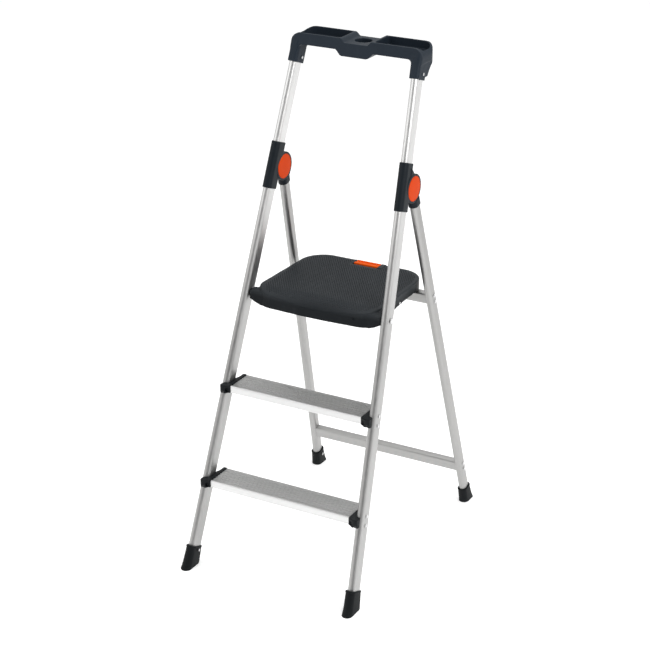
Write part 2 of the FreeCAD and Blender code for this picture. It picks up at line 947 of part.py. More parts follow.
def handle_rivet_frame(side, way):
    # way is 1 on the socket's right face and -1 on its left face
    frame = stile_frame(side)
    face = way * (float(d.stile_wide) / 2 + float(d.socket_wall))
    return frame * at(face, 4, along(frame, float(d.socket_low) + 13))


def make_handle():
    middle_y = (float(d.handle_front) + float(d.handle_back)) / 2
    deep = d.handle_back - d.handle_front
    beam = profile("handle_beam", at(0, middle_y - 10, 0), "XZ_Plane", handle_outline(), deep + 20)
    solids = [beam]
    # the front face leans back with the stiles
    lean = Rotation(x_axis, -float(d.stile_lean))
    reach = d.handle_half + 20
    holes = [
        block("handle_front_cut", at(0, d.handle_front, d.handle_top, lean), (-reach, -60, -90), (reach, 0, 30)),
    ]
    wall = d.tray_wall
    for word, side in sides:
        frame = stile_frame(side)
        low = along(frame, d.socket_low)
        wide = d.stile_wide + 2 * d.socket_wall
        socket_deep = d.stile_deep + 2 * d.socket_wall
        solids.append(oval_bar("handle_socket_" + word, frame * at(0, 0, low), wide, socket_deep, d.socket_length))
        # the beam's end sweeps down to the socket
        under = d.handle_under
        sweep = [(105, under + 1), (186, under + 1), (176, under - 11), (158, under - 23), (148, under - 34),
                 (100, under - 34)]
        cheek = profile("handle_cheek_" + word, at(side * 164, 0, 0), "YZ_Plane", sweep, 22)
        solids.append(cheek)
        holes.append(oversize_stile("handle_bore_" + word, side, d.push_gap))
        tray_low = d.middle_half + wall
        tray_high = d.handle_half - wall
        start = float(tray_low) if side > 0 else -float(tray_high)
        tray = block(
            "handle_tray_" + word,
            at(start, d.handle_front + wall, d.handle_top - d.tray_depth),
            (0, 0, 0),
            (tray_high - tray_low, deep - 2 * wall, 2 * d.tray_depth),
        )
        holes.append(tray)
        for way in (-1, 1):
            hole = handle_rivet_frame(side, way) * at(way, 0, 0)
            hole_name = "handle_rivet_hole_%s_%d" % (word, way)
            holes.append(drill(hole_name, hole, way, d.rivet_shank, d.socket_wall + 1))
    cup_frame = at(0, middle_y, d.handle_belly + 4)
    holes.append(oval_bar("handle_cup", cup_frame, 2 * d.cup_half_y, 2 * d.cup_half_x, 60))
    holes[-1].Placement = cup_frame * at(0, 0, 0, Rotation(Vector(0, 0, 1), 90))
    whole = fuse("handle_whole", solids)
    keep(cut_all("top_handle", whole, holes), "top_handle")
    rivets = [
        rivet("handle_rivet_%s_%d" % (word, way), handle_rivet_frame(side, way), way, d.trim_rivet_head,
              d.rivet_thick, d.rivet_shank, d.socket_wall - d.push_gap)
        for word, side in sides
        for way in (-1, 1)
    ]
    keep(group("handle_rivets", rivets), "handle_rivets")


# --- assembly ----------------------------------------------------------------------------------

for level in range(2):
    make_tread(level)
for word, side in sides:
    make_stile(word, side)
    make_tread_rivets(word, side)
    for level in range(2):
        make_bracket(level, word, side)
    make_sleeve(word, side)
    make_caps(word, side)
    make_joint_pin(word, side)
    make_knuckle(word, side)
    make_leg(word, side)
    make_brace_rivets(word, side)
    make_feet(word, side)
    make_deck_pins(word, side)
for word in brace_heights:
    make_brace(word)
make_foot_rivets()
make_deck()
make_hooks()
make_skirt_rivets()
make_lever()
make_handle()
doc.recompute()

# --- check and write ---------------------------------------------------------------------------

problems = []
for item in doc.Objects:
    if "Invalid" in item.State or "Error" in item.State:
        problems.append("%s is %s" % (item.Label, item.State))
for item in subparts:
    if item.Shape.isNull() or not item.Shape.isValid():
        problems.append("%s has no valid shape" % item.Label)
for line in problems:
    print(line)
if problems:
    raise SystemExit("the model has %d problems" % len(problems))

os.makedirs("parts", exist_ok=True)
for item in subparts:
    item.Shape.exportStep("parts/%s.step" % item.Label)
    box = item.Shape.BoundBox
    print("%-28s solids %d  volume %9.0f  z %7.1f %7.1f" % (
        item.Label, len(item.Shape.Solids), item.Shape.Volume, box.ZMin, box.ZMax))
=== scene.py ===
import math

import bmesh
import bpy
from mathutils import Matrix, Vector


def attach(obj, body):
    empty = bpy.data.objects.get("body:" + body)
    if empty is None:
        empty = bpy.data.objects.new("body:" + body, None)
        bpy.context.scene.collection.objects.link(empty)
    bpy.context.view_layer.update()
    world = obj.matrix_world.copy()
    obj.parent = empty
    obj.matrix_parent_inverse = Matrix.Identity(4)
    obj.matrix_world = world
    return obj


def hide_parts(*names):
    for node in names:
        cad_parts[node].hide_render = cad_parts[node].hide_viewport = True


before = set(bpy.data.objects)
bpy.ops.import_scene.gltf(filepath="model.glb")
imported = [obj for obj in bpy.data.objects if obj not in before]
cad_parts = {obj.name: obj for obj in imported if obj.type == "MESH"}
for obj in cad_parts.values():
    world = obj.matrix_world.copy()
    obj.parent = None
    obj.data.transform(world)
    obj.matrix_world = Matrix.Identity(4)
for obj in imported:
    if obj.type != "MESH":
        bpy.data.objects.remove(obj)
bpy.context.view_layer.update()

# A folding step ladder: flat oval tubes, ribbed treads, moulded platform, joints, feet and handle.
# Metres. The ladder stands open on the floor, and someone who climbs it comes from -Y.

mm = 0.001


# modelling helpers

def deselectAll():
    if bpy.context.object and bpy.context.object.mode != "OBJECT":
        bpy.ops.object.mode_set(mode="OBJECT")
    bpy.ops.object.select_all(action="DESELECT")


def activate(obj):
    deselectAll()
    obj.select_set(True)
    bpy.context.view_layer.objects.active = obj
    return obj


def named(name):
    obj = bpy.context.object
    obj.name = name
    obj.data.name = name
    return obj


def bake(obj):
    # puts the object's place, turn and scale into its mesh
    activate(obj)
    bpy.ops.object.transform_apply(location=True, rotation=True, scale=True)
    return obj


def moveBy(obj, matrix):
    obj.matrix_world = matrix @ obj.matrix_world
    return bake(obj)


def addBlock(name, low, high):
    deselectAll()
    middle = [(a + b) / 2 * mm for a, b in zip(low, high)]
    bpy.ops.mesh.primitive_cube_add(size=1, location=middle)
    obj = named(name)
    obj.scale = [(b - a) * mm for a, b in zip(low, high)]
    return bake(obj)


def addRod(name, place, radius, length, axis="x", vertices=48):
    # a round bar centred on place
    deselectAll()
    turn = {"x": (0, math.pi / 2, 0), "y": (math.pi / 2, 0, 0), "z": (0, 0, 0)}[axis]
    bpy.ops.mesh.primitive_cylinder_add(
        vertices=vertices, radius=radius * mm, depth=length * mm,
        location=[a * mm for a in place], rotation=turn,
    )
    return bake(named(name))


def editing(obj):
    activate(obj)
    bpy.ops.object.mode_set(mode="EDIT")
    bpy.ops.mesh.select_all(action="DESELECT")
    return bmesh.from_edit_mesh(obj.data)


def pick(obj, kind, test):
    # selects the vertices, edges or faces that pass a test, in edit mode
    mesh = editing(obj)
    modes = {"verts": "VERT", "edges": "EDGE", "faces": "FACE"}
    bpy.ops.mesh.select_mode(type=modes[kind])
    found = 0
    for item in getattr(mesh, kind):
        chosen = bool(test(item))
        item.select_set(chosen)
        found += chosen
    mesh.select_flush_mode()
    bmesh.update_edit_mesh(obj.data)
    return found


def done():
    bpy.ops.object.mode_set(mode="OBJECT")


def middleOf(item):
    if isinstance(item, bmesh.types.BMEdge):
        return (item.verts[0].co + item.verts[1].co) / 2
    return item.calc_center_median()


def alongAxis(edge, axis):
    run = edge.verts[1].co - edge.verts[0].co
    return run.length > 1e-7 and abs(run.normalized()[axis]) > 0.999


def bevelWhere(obj, test, width, segments=3):
    if pick(obj, "edges", test):
        bpy.ops.mesh.bevel(
            offset=width * mm, segments=segments, profile=0.5, affect="EDGES", clamp_overlap=True,
        )
    done()
    return obj


def applyModifier(obj, kind, **settings):
    activate(obj)
    modifier = obj.modifiers.new(kind.lower(), kind)
    for key, value in settings.items():
        setattr(modifier, key, value)
    bpy.ops.object.modifier_apply(modifier=modifier.name)
    return obj


def combine(obj, tool, operation):
    applyModifier(obj, "BOOLEAN", object=tool, operation=operation, solver="EXACT")
    bpy.data.objects.remove(tool)
    return obj


def cutAway(obj, *tools):
    for tool in tools:
        combine(obj, tool, "DIFFERENCE")
    return obj


def addTo(obj, *tools):
    for tool in tools:
        combine(obj, tool, "UNION")
    return obj


def joinPieces(name, pieces):
    deselectAll()
    for piece in pieces:
        piece.select_set(True)
    bpy.context.view_layer.objects.active = pieces[0]
    bpy.ops.object.join()
    return named(name)


def copyOf(obj, name):
    copy = obj.copy()
    copy.data = obj.data.copy()
    bpy.context.scene.collection.objects.link(copy)
    copy.name = name
    copy.data.name = name
    return copy


def faceOutwards(obj):
    activate(obj)
    bpy.ops.object.mode_set(mode="EDIT")
    bpy.ops.mesh.select_all(action="SELECT")
    bpy.ops.mesh.normals_make_consistent(inside=False)
    done()
    return obj


def softened(obj, voxel, rounds=3, keep=0.5):
    # melts a rough union into one moulded skin with soft corners
    applyModifier(obj, "REMESH", mode="VOXEL", voxel_size=voxel * mm)
    applyModifier(obj, "SMOOTH", factor=0.5, iterations=rounds)
    if keep < 1:
        applyModifier(obj, "DECIMATE", ratio=keep)
    return obj


def smoothed(obj, degrees):
    activate(obj)
    bpy.ops.object.shade_smooth_by_angle(angle=math.radians(degrees))
    return obj


def drawOutline(name, points, plane, low, high):
    # an outline drawn by extruding a point from corner to corner, filled and pulled to a thickness
    across = {"yz": (1, 2, 0), "xz": (0, 2, 1), "xy": (0, 1, 2)}[plane]

    def spot(a, b, c=0.0):
        place = [0.0, 0.0, 0.0]
        place[across[0]], place[across[1]], place[across[2]] = a * mm, b * mm, c * mm
        return Vector(place)

    deselectAll()
    start = spot(*points[0], low)
    bpy.ops.mesh.primitive_plane_add(size=0.01, location=start)
    obj = bake(named(name))
    editing(obj)
    bpy.ops.mesh.select_mode(type="VERT")
    bpy.ops.mesh.select_all(action="SELECT")
    bpy.ops.mesh.merge(type="CENTER")
    for before, after in zip(points, points[1:]):
        step = spot(*after) - spot(*before)
        bpy.ops.mesh.extrude_region_move(TRANSFORM_OT_translate={"value": step})
    bpy.ops.mesh.select_all(action="SELECT")
    bpy.ops.mesh.edge_face_add()
    bpy.ops.mesh.extrude_region_move(TRANSFORM_OT_translate={"value": spot(0, 0, high - low)})
    done()
    return faceOutwards(obj)


def ovalBar(name, wide, deep, low, high, vertices=48):
    # a round bar pulled apart along y into a flat oval, upright on its own z axis
    obj = addRod(name, (0, 0, (low + high) / 2), wide / 2, high - low, "z", vertices)
    obj.rotation_euler = (0, 0, math.pi / vertices)
    bake(obj)
    apart = (deep - wide) / 2 * mm
    for way in (1, -1):
        pick(obj, "verts", lambda vert: vert.co.y * way > 0)
        bpy.ops.transform.translate(value=(0, way * apart, 0))
        done()
    return obj


# places

ways = (-1, 1)
sides = (("left", -1), ("right", 1))
stile = {"footHalf": 231.4, "footY": -328, "lean": 19.743, "splay": 2.888, "wide": 20, "deep": 40,
         "low": 12, "high": 1337, "wall": 1.5}
leg = {"footHalf": 227.94, "footY": 333.85, "lean": -15.769, "splay": 2.744, "wide": 20, "deep": 30,
       "low": 8, "high": 965, "wall": 1.5}


def tubeFrame(tube, side):
    # z runs up the tube, x across the ladder, y to the rear
    lean = Matrix.Rotation(math.radians(-tube["lean"]), 4, "X")
    splay = Matrix.Rotation(math.radians(-side * tube["splay"]), 4, "Y")
    foot = Matrix.Translation((side * tube["footHalf"] * mm, tube["footY"] * mm, 0))
    return foot @ lean @ splay


def alongTube(tube, height):
    up = tubeFrame(tube, 1) @ Vector((0, 0, 1)) - tubeFrame(tube, 1).translation
    return height / up.z


def centreAt(tube, side, height):
    return tubeFrame(tube, side) @ Vector((0, 0, alongTube(tube, height) * mm))


def shifted(place):
    return Matrix.Translation([a * mm for a in place])


# shader helpers

class Value:
    # a shader socket that can be used in ordinary arithmetic
    def __init__(self, tree, socket):
        self.tree = tree
        self.socket = socket

    def node(self, kind, settings=None, **inputs):
        made = self.tree.nodes.new(kind)
        for key, value in (settings or {}).items():
            if key == "stops":
                for stop, (place, shade) in zip(made.color_ramp.elements, value):
                    stop.position = place
                    stop.color = (shade, shade, shade, 1)
            else:
                setattr(made, key, value)
        for key, value in inputs.items():
            target = made.inputs[int(key[1:]) if key[1:].isdigit() else key]
            if isinstance(value, Value):
                self.tree.links.new(value.socket, target)
            else:
                target.default_value = value
        return Value(self.tree, made.outputs[0])

    def math(self, operation, *others):
        inputs = {"i%d" % index: item for index, item in enumerate((self,) + others)}
        return self.node("ShaderNodeMath", {"operation": operation}, **inputs)

    def __add__(self, other):
        return self.math("ADD", other)

    def __sub__(self, other):
        return self.math("SUBTRACT", other)

    def __mul__(self, other):
        return self.math("MULTIPLY", other)

    def __rsub__(self, other):
        return self * -1 + other

    __radd__ = __add__
    __rmul__ = __mul__

    def blendColours(self, first, second):
        made = self.tree.nodes.new("ShaderNodeMix")
        made.data_type = "RGBA"
        self.tree.links.new(self.socket, made.inputs["Factor"])
        made.inputs["A"].default_value = (*first, 1)
        made.inputs["B"].default_value = (*second, 1)
        return Value(self.tree, made.outputs["Result"])


def newMaterial(name):
    material = bpy.data.materials.new(name)
    material.use_nodes = True
    tree = material.node_tree
    shader = tree.nodes["Principled BSDF"]
    coords = tree.nodes.new("ShaderNodeTexCoord")
    return material, shader, Value(tree, coords.outputs["Object"])


def feed(shader, socket, value):
    if isinstance(value, Value):
        value.tree.links.new(value.socket, shader.inputs[socket])
    else:
        shader.inputs[socket].default_value = value


def surface(shader, colour, roughness, bump=None, bumpDepth=0.1, bumpReach=0.001, metallic=0.0, gleam=0.5):
    feed(shader, "Base Color", colour)
    feed(shader, "Roughness", roughness)
    feed(shader, "Metallic", metallic)
    feed(shader, "Specular IOR Level", gleam)
    if bump is not None:
        normal = bump.node("ShaderNodeBump", {}, Strength=bumpDepth, Distance=bumpReach, Height=bump)
        feed(shader, "Normal", normal)


def noise(coords, scale, detail=2.0, stretch=(1, 1, 1), turn=(0, 0, 0)):
    placed = coords.node("ShaderNodeMapping", {}, Vector=coords, Rotation=turn, Scale=stretch)
    return placed.node("ShaderNodeTexNoise", {}, Vector=placed, Scale=scale, Detail=detail)


# materials

aluminium = {
    "dull": (0.33, 0.328, 0.323),
    "bright": (0.46, 0.457, 0.450),
    # painted light: the stile's colours run from a painted shade low down to a painted light high up
    "stilePaintedShade": (0.35, 0.348, 0.343),
    "stilePaintedLight": (0.84, 0.837, 0.83),
    "treadDull": (0.60, 0.60, 0.597),
    "treadBright": (0.82, 0.82, 0.815),
    "roughness": 0.40,
}


def riseBetween(coords, low, high):
    # 0 up to the low height and 1 from the high one, both in metres above the floor
    turned = coords.node("ShaderNodeMapping", {}, Vector=coords, Rotation=(0, math.pi / 2, 0))
    height = turned.node("ShaderNodeSeparateXYZ", {}, Vector=turned)
    level = (height - low) * (1 / (high - low))
    return level.node("ShaderNodeClamp", {}, Value=level)


def anodised(name, turn=(0, 0, 0), lines=(260, 260, 2.5), shades=("dull", "bright"), paintedLightRise=None):
    # satin anodised tube: fine draw lines along it, cloudy sheen and small handling marks, and where asked
    # painted light that makes it brighter towards the top
    material, shader, coords = newMaterial(name)
    drawn = noise(coords, 1.0, 3.0, lines, turn)
    cloud = noise(coords, 9.0, 3.0)
    speck = noise(coords, 900.0, 2.0)
    tone = drawn * 0.55 + cloud * 0.35 + speck * 0.1
    if paintedLightRise is not None:
        # painted light: the upper part of the tube is painted brighter and the lower part darker, standing
        # in for light that falls off towards the floor
        tone = tone * 0.35 + riseBetween(coords, *paintedLightRise) * 0.6
    colour = tone.blendColours(aluminium[shades[0]], aluminium[shades[1]])
    rough = drawn * 0.16 + cloud * 0.08 + (aluminium["roughness"] - 0.12)
    surface(shader, colour, rough, drawn * 0.7 + speck * 0.3, 0.16, 0.0002, metallic=1.0)
    return material


plastics = {
    "handle": {"dark": (0.011, 0.017, 0.025), "light": (0.021, 0.029, 0.040), "rough": 0.46},
    "joint": {"dark": (0.007, 0.010, 0.013), "light": (0.014, 0.018, 0.023), "rough": 0.44},
    "platform": {"dark": (0.005, 0.007, 0.009), "light": (0.026, 0.030, 0.034), "rough": 0.48},
    "bracket": {"dark": (0.004, 0.005, 0.006), "light": (0.009, 0.011, 0.013), "rough": 0.42},
    "rubber": {"dark": (0.004, 0.005, 0.006), "light": (0.010, 0.012, 0.013), "rough": 0.55},
}


def moulded(name, look, grain=2600.0, depth=0.12, skirt=None):
    # moulded plastic: spark-eroded grain, faint flow clouds, scuffs that polish the high spots, and where
    # asked painted shade on a skirt
    values = plastics[look]
    material, shader, coords = newMaterial(name)
    fine = noise(coords, grain, 3.0)
    cloud = noise(coords, 14.0, 4.0)
    scuff = noise(coords, 60.0, 6.0, (1, 0.35, 0.35))
    worn = scuff.node("ShaderNodeValToRGB", {"stops": [(0.56, 0.0), (0.72, 1.0)]}, Fac=scuff)
    tone = cloud * 0.6 + fine * 0.25 + worn * 0.15
    if skirt is not None:
        # painted shade: the smooth skirt is painted darker than the top, standing in for the top being lit
        # from above while the skirt is not
        tone = tone * 0.7 + riseBetween(coords, *skirt) * 0.9 - 0.3
    colour = tone.blendColours(values["dark"], values["light"])
    rough = fine * 0.10 + cloud * 0.10 - worn * 0.05 + (values["rough"] - 0.1)
    shader.inputs["IOR"].default_value = 1.4
    surface(shader, colour, rough, fine, depth, 0.0003, gleam=0.18)
    return material


oranges = {
    "cap": {"deep": (0.54, 0.042, 0.001), "bright": (0.66, 0.058, 0.002)},
    "lever": {"deep": (0.72, 0.080, 0.002), "bright": (0.86, 0.115, 0.005)},
}


def glossyOrange(name, look):
    values = oranges[look]
    material, shader, coords = newMaterial(name)
    cloud = noise(coords, 30.0, 3.0)
    fine = noise(coords, 2200.0, 2.0)
    colour = (cloud * 0.8 + fine * 0.2).blendColours(values["deep"], values["bright"])
    shader.inputs["IOR"].default_value = 1.3
    surface(shader, colour, fine * 0.08 + cloud * 0.08 + 0.36, fine, 0.05, 0.0002, gleam=0.12)
    return material


def platedSteel(name):
    material, shader, coords = newMaterial(name)
    spin = noise(coords, 700.0, 3.0)
    cloud = noise(coords, 60.0, 3.0)
    colour = (spin * 0.5 + cloud * 0.5).blendColours((0.50, 0.50, 0.51), (0.80, 0.80, 0.80))
    surface(shader, colour, spin * 0.15 + cloud * 0.1 + 0.14, spin, 0.08, 0.0001, metallic=1.0)
    return material


finishes = {
    # the stiles get painted light, darker below 0.60 m and brighter above 1.05 m
    "stileTube": anodised(
        "stileTube", (math.radians(stile["lean"]), 0, 0), paintedLightRise=(0.60, 1.05),
        shades=("stilePaintedShade", "stilePaintedLight"),
    ),
    "legTube": anodised("legTube", (math.radians(leg["lean"]), 0, 0)),
    "braceTube": anodised("braceTube", lines=(2.5, 260, 260)),
    "tread": anodised("tread", lines=(3, 320, 320), shades=("treadDull", "treadBright")),
    "handle": moulded("handlePlastic", "handle"),
    "joint": moulded("jointPlastic", "joint"),
    # the platform's skirt gets painted shade below 668 mm, and its top painted light above 684 mm
    "platform": moulded("platformPlastic", "platform", 1800.0, 0.18, (0.668, 0.684)),
    "bracket": moulded("bracketPlastic", "bracket"),
    "rubber": moulded("footRubber", "rubber", 1500.0, 0.2),
    "cap": glossyOrange("capOrange", "cap"),
    "lever": glossyOrange("leverOrange", "lever"),
    "steel": platedSteel("rivetSteel"),
}
print("materials ready:", len(finishes))


def finishPiece(obj, degrees, finish, body, slotName, *nodes):
    # edges sharper than the angle stay crisp
    smoothed(obj, degrees)
    obj.data.materials.clear()
    obj.data.materials.append(finishes[finish])
    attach(obj, body)
    if nodes:
        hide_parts(*nodes)
    return obj


# tubes

def openEnds(obj, axis, wall):
    # takes the ends off a closed bar and gives what is left the thickness of a tube's wall
    pick(obj, "faces", lambda face: abs(face.normal[axis]) > 0.9)
    bpy.ops.mesh.delete(type="FACE")
    done()
    applyModifier(obj, "SOLIDIFY", thickness=wall * mm, offset=-1.0)


def makeTube(word, side, kind, tube, node, body):
    name = word + kind.capitalize() + "Tube"
    obj = ovalBar(name, tube["wide"], tube["deep"], tube["low"], tube["high"], 64)
    openEnds(obj, 2, tube["wall"])
    moveBy(obj, tubeFrame(tube, side))
    finishPiece(obj, 30, kind + "Tube", body, "anodised_tube", node + word)


for word, side in sides:
    makeTube(word, side, "stile", stile, "stile_", "front_frame")
    makeTube(word, side, "leg", leg, "rear_leg_", "rear_frame")
print("tubes done")


# small shared shapes

def arcPoints(centre, radius, start, end, steps=5):
    # points on an arc, angles in degrees
    spots = []
    for index in range(steps + 1):
        angle = math.radians(start + (end - start) * index / steps)
        spots.append((centre[0] + radius * math.cos(angle), centre[1] + radius * math.sin(angle)))
    return spots


def rowOf(obj, count, step):
    applyModifier(
        obj, "ARRAY", count=count, use_relative_offset=False, use_constant_offset=True,
        constant_offset_displace=[a * mm for a in step],
    )
    return obj


def placedCopy(obj, name, matrix):
    copy = copyOf(obj, name)
    return moveBy(copy, matrix)


def mirrorX(matrix):
    flip = Matrix.Scale(-1, 4, (1, 0, 0))
    return flip @ matrix


# treads

tread = {
    "front": -31, "rear": 48, "lip": -19, "skin": 2, "flange": 12, "inset": 22.8,
    "top": 226.6, "rise": 230, "plateTop": -2.6, "endGap": 0.4,
    "ribs": 7, "ribStart": -22.2, "ribPitch": 10.4, "ribWide": 6.6, "ribTall": 0.9,
    "toothPitch": 4, "toothLong": 3, "toothTall": 1.5, "lineHalf": 0.8, "lineTop": -0.3,
    "webHalf": 0.8, "webLow": -12, "webStart": -6, "webPitch": 24,
}
treadWords = ("lower", "upper")


def treadHeight(level):
    return tread["top"] + level * tread["rise"]


def treadSection():
    # an open channel with a rounded nose, flat front lip and returned flanges
    front, rear, lip, skin = tread["front"], tread["rear"], tread["lip"], tread["skin"]
    flange, top = tread["flange"], tread["plateTop"]
    outer = [(front, lip + 1.2), (front, lip + 4), (front + 0.5, lip + 4.6), (front, lip + 5.2)]
    outer += arcPoints((front + 2.2, -2.2), 2.2, 180, 90, 4)
    outer += [(front + 4.2, 0), (front + 4.8, top), (rear - 4.8, top), (rear - 4.2, 0)]
    outer += arcPoints((rear - 2.2, -2.2), 2.2, 90, 0, 4)
    outer += [(rear, lip + 1.2), (rear - 1.2, lip), (rear - flange, lip), (rear - flange, lip + skin)]
    inner = [(rear - skin, lip + skin), (rear - skin, top - skin), (front + skin, top - skin)]
    inner += [(front + skin, lip + skin), (front + flange, lip + skin), (front + flange, lip)]
    inner.append((front + 1.2, lip))
    return outer + inner


def makeTread(level):
    word = treadWords[level]
    height = treadHeight(level)
    middle = centreAt(stile, 1, height)
    half = middle.x / mm - tread["inset"]
    end = half - tread["endGap"]
    top, wide, start, apart = tread["plateTop"], tread["ribWide"] / 2, tread["ribStart"], tread["ribPitch"]
    pitch, long, ribTop = tread["toothPitch"], tread["toothLong"], tread["plateTop"] + tread["ribTall"]
    plate = drawOutline("tread_" + word, treadSection(), "yz", -half, half)
    count = int((2 * half - long) / pitch)
    tooth = addBlock("tooth", (-long / 2, -wide, top - 0.1), (long / 2, wide, ribTop + tread["toothTall"]))
    pick(tooth, "faces", lambda face: face.normal.z > 0.9)
    bpy.ops.transform.resize(value=(0.5, 0.86, 1))
    done()
    moveBy(tooth, shifted((-(count - 1) * pitch / 2, start, 0)))
    rowOf(tooth, count, (pitch, 0, 0))
    rowOf(tooth, tread["ribs"], (0, apart, 0))
    rib = addBlock("rib", (-end, -wide, top - 0.2), (end, wide, ribTop))
    moveBy(rib, shifted((0, start, 0)))
    rowOf(rib, tread["ribs"], (0, apart, 0))
    # smooth lines stand between the toothed rows
    thin = tread["lineHalf"]
    line = addBlock("line", (-end, -thin, top - 0.2), (end, thin, tread["lineTop"]))
    moveBy(line, shifted((0, start + apart / 2, 0)))
    rowOf(line, tread["ribs"] - 1, (0, apart, 0))
    # two webs stiffen the plate from below
    web = addBlock("web", (-end, -tread["webHalf"], tread["webLow"]), (end, tread["webHalf"], top - 1))
    moveBy(web, shifted((0, tread["webStart"], 0)))
    rowOf(web, 2, (0, tread["webPitch"], 0))
    pieces = [plate, tooth, rib, line, web]
    obj = joinPieces("treadPlate" + word.capitalize(), pieces)
    moveBy(obj, shifted((0, middle.y / mm, height)))
    finishPiece(obj, 28, "tread", "front_frame", "tread_aluminium", "tread_" + word)


for level in range(2):
    makeTread(level)
print("treads done")


# tread brackets

bracket = {
    "reach": 4, "nose": -40, "rear": 47.5, "low": -26, "high": 1.3, "voxel": 0.9,
    "pocketLow": (-19.5, -44, -16.5), "pocketHigh": (-11, -33.4, -5.5),
    "screw": (-15.2, -33.8, -11), "screwRadius": 2.8, "screwTall": 1.8,
}


def makeBracketMould():
    # the right bracket, with the stile's centre at the tread's height as its origin
    inset, reach, nose, rear = tread["inset"], bracket["reach"], bracket["nose"], bracket["rear"]
    plan = [(-inset, -33), (-18, -35.5), (-14, -37.5), (-8, nose + 0.5), (-4, nose), (0, nose)]
    plan += [(reach - 1, nose + 1.5), (reach, nose + 4), (reach, nose + 12), (reach - 2, -20)]
    plan += [(-8, -16), (-8, 8), (-10, 18), (-12.5, 26), (-13.5, 34), (-13, 42), (-14.5, rear - 0.5)]
    plan += [(-inset + 2, rear), (-inset, rear)]
    body = drawOutline("bracketMould", plan, "xy", bracket["low"], bracket["high"])
    # the underside drops from the tread's end towards the stile, then climbs to the rear
    under = [(-40, -18), (-18, -18.5), (-10, -20.5), (-2, -22), (30, -22.5), (30, -40), (-40, -40)]
    heel = [(-4, -40), (4, -22), (20, -18), (46, -13), (60, -13), (60, -40)]
    # the nose follows the stile down
    chin = [(-60, -13), (-39, -14), (-35, -23), (-34, -40), (-60, -40)]
    cutAway(
        body, drawOutline("under", under, "xz", -60, 60), drawOutline("heel", heel, "yz", -40, 40),
        drawOutline("chin", chin, "yz", -8, 40),
    )
    softened(body, bracket["voxel"], 3, 0.45)
    pocket = addBlock("pocket", bracket["pocketLow"], bracket["pocketHigh"])
    bevelWhere(pocket, lambda edge: alongAxis(edge, 1), 2, 3)
    cutAway(body, pocket)
    screw = addRod("screw", bracket["screw"], bracket["screwRadius"], bracket["screwTall"], "y", 20)
    bevelWhere(screw, lambda edge: middleOf(edge).y < -34.2 * mm, 0.6, 2)
    slotCut = addBlock("slotCut", (-17.8, -35.4, -11.4), (-12.6, -34.2, -10.6))
    cutAway(screw, slotCut)
    tongue = addBlock("tongue", (-inset - 30, -18, -15), (-inset + 2, 34, -4))
    bevelWhere(tongue, lambda edge: middleOf(edge).x < (-inset - 20) * mm, 2, 2)
    return joinPieces("bracketMould", [body, screw, tongue])


bracketMould = makeBracketMould()
for level, levelWord in enumerate(treadWords):
    middle = centreAt(stile, 1, treadHeight(level))
    place = Matrix.Translation(middle)
    for word, side in sides:
        name = word + levelWord.capitalize() + "Bracket"
        piece = placedCopy(bracketMould, name, place if side > 0 else mirrorX(place))
        if side < 0:
            faceOutwards(piece)
        node = "tread_bracket_%s_%s" % (levelWord, word)
        finishPiece(piece, 35, "bracket", "front_frame", "black_plastic", node)
bpy.data.objects.remove(bracketMould)
print("tread brackets done")


# rivets

rivets = {
    "head": 4.4, "tall": 1.5, "trimHead": 3.4, "trimTall": 1.3, "treadDrops": (3, 25),
    "braceHeights": (645, 114), "braceSlides": (-9, 9), "frontFoot": 42, "rearFoot": 32, "handle": 1227.7,
}


def makeRivetMould(name, radius, tall):
    # a domed blind rivet with its sunken mandrel, standing on the face x = 0
    obj = addRod(name, (tall / 2 - 0.3, 0, 0), radius, tall + 0.6, "x", 28)
    top = tall * mm
    for shrink, lift in ((0.9, -0.18), (0.78, -0.1), (0.62, 0.12), (0.42, 0.1)):
        pick(obj, "faces", lambda face: face.normal.x > 0.9 and middleOf(face).x > top * 0.5)
        bpy.ops.mesh.inset(thickness=radius * (1 - shrink) * 0.45 * mm, depth=(lift + 0.12) * mm)
        done()
    for depth in (0.0, -0.55):
        pick(obj, "faces", lambda face: face.normal.x > 0.9 and middleOf(face).x > top * 0.3
             and face.calc_area() < math.pi * (radius * 0.55 * mm) ** 2 and len(face.verts) > 6)
        bpy.ops.mesh.inset(thickness=0.08 * mm, depth=depth * mm)
        done()
    return obj


rivetMould = makeRivetMould("rivetMould", rivets["head"], rivets["tall"])
trimMould = makeRivetMould("trimMould", rivets["trimHead"], rivets["trimTall"])


def setRivets(name, mould, places, body, *nodes):
    # each place is a frame on the face and the way the head points along its x
    pieces = []
    for index, (place, way) in enumerate(places):
        turn = Matrix.Rotation(math.pi if way < 0 else 0, 4, "Z")
        pieces.append(placedCopy(mould, "%s%d" % (name, index), place @ turn))
    obj = joinPieces(name, pieces)
    return finishPiece(obj, 40, "steel", body, "rivet_steel", *nodes)


def onTube(tube, side, across, behind, height, slide=0):
    return tubeFrame(tube, side) @ shifted((across, behind, alongTube(tube, height) + slide))


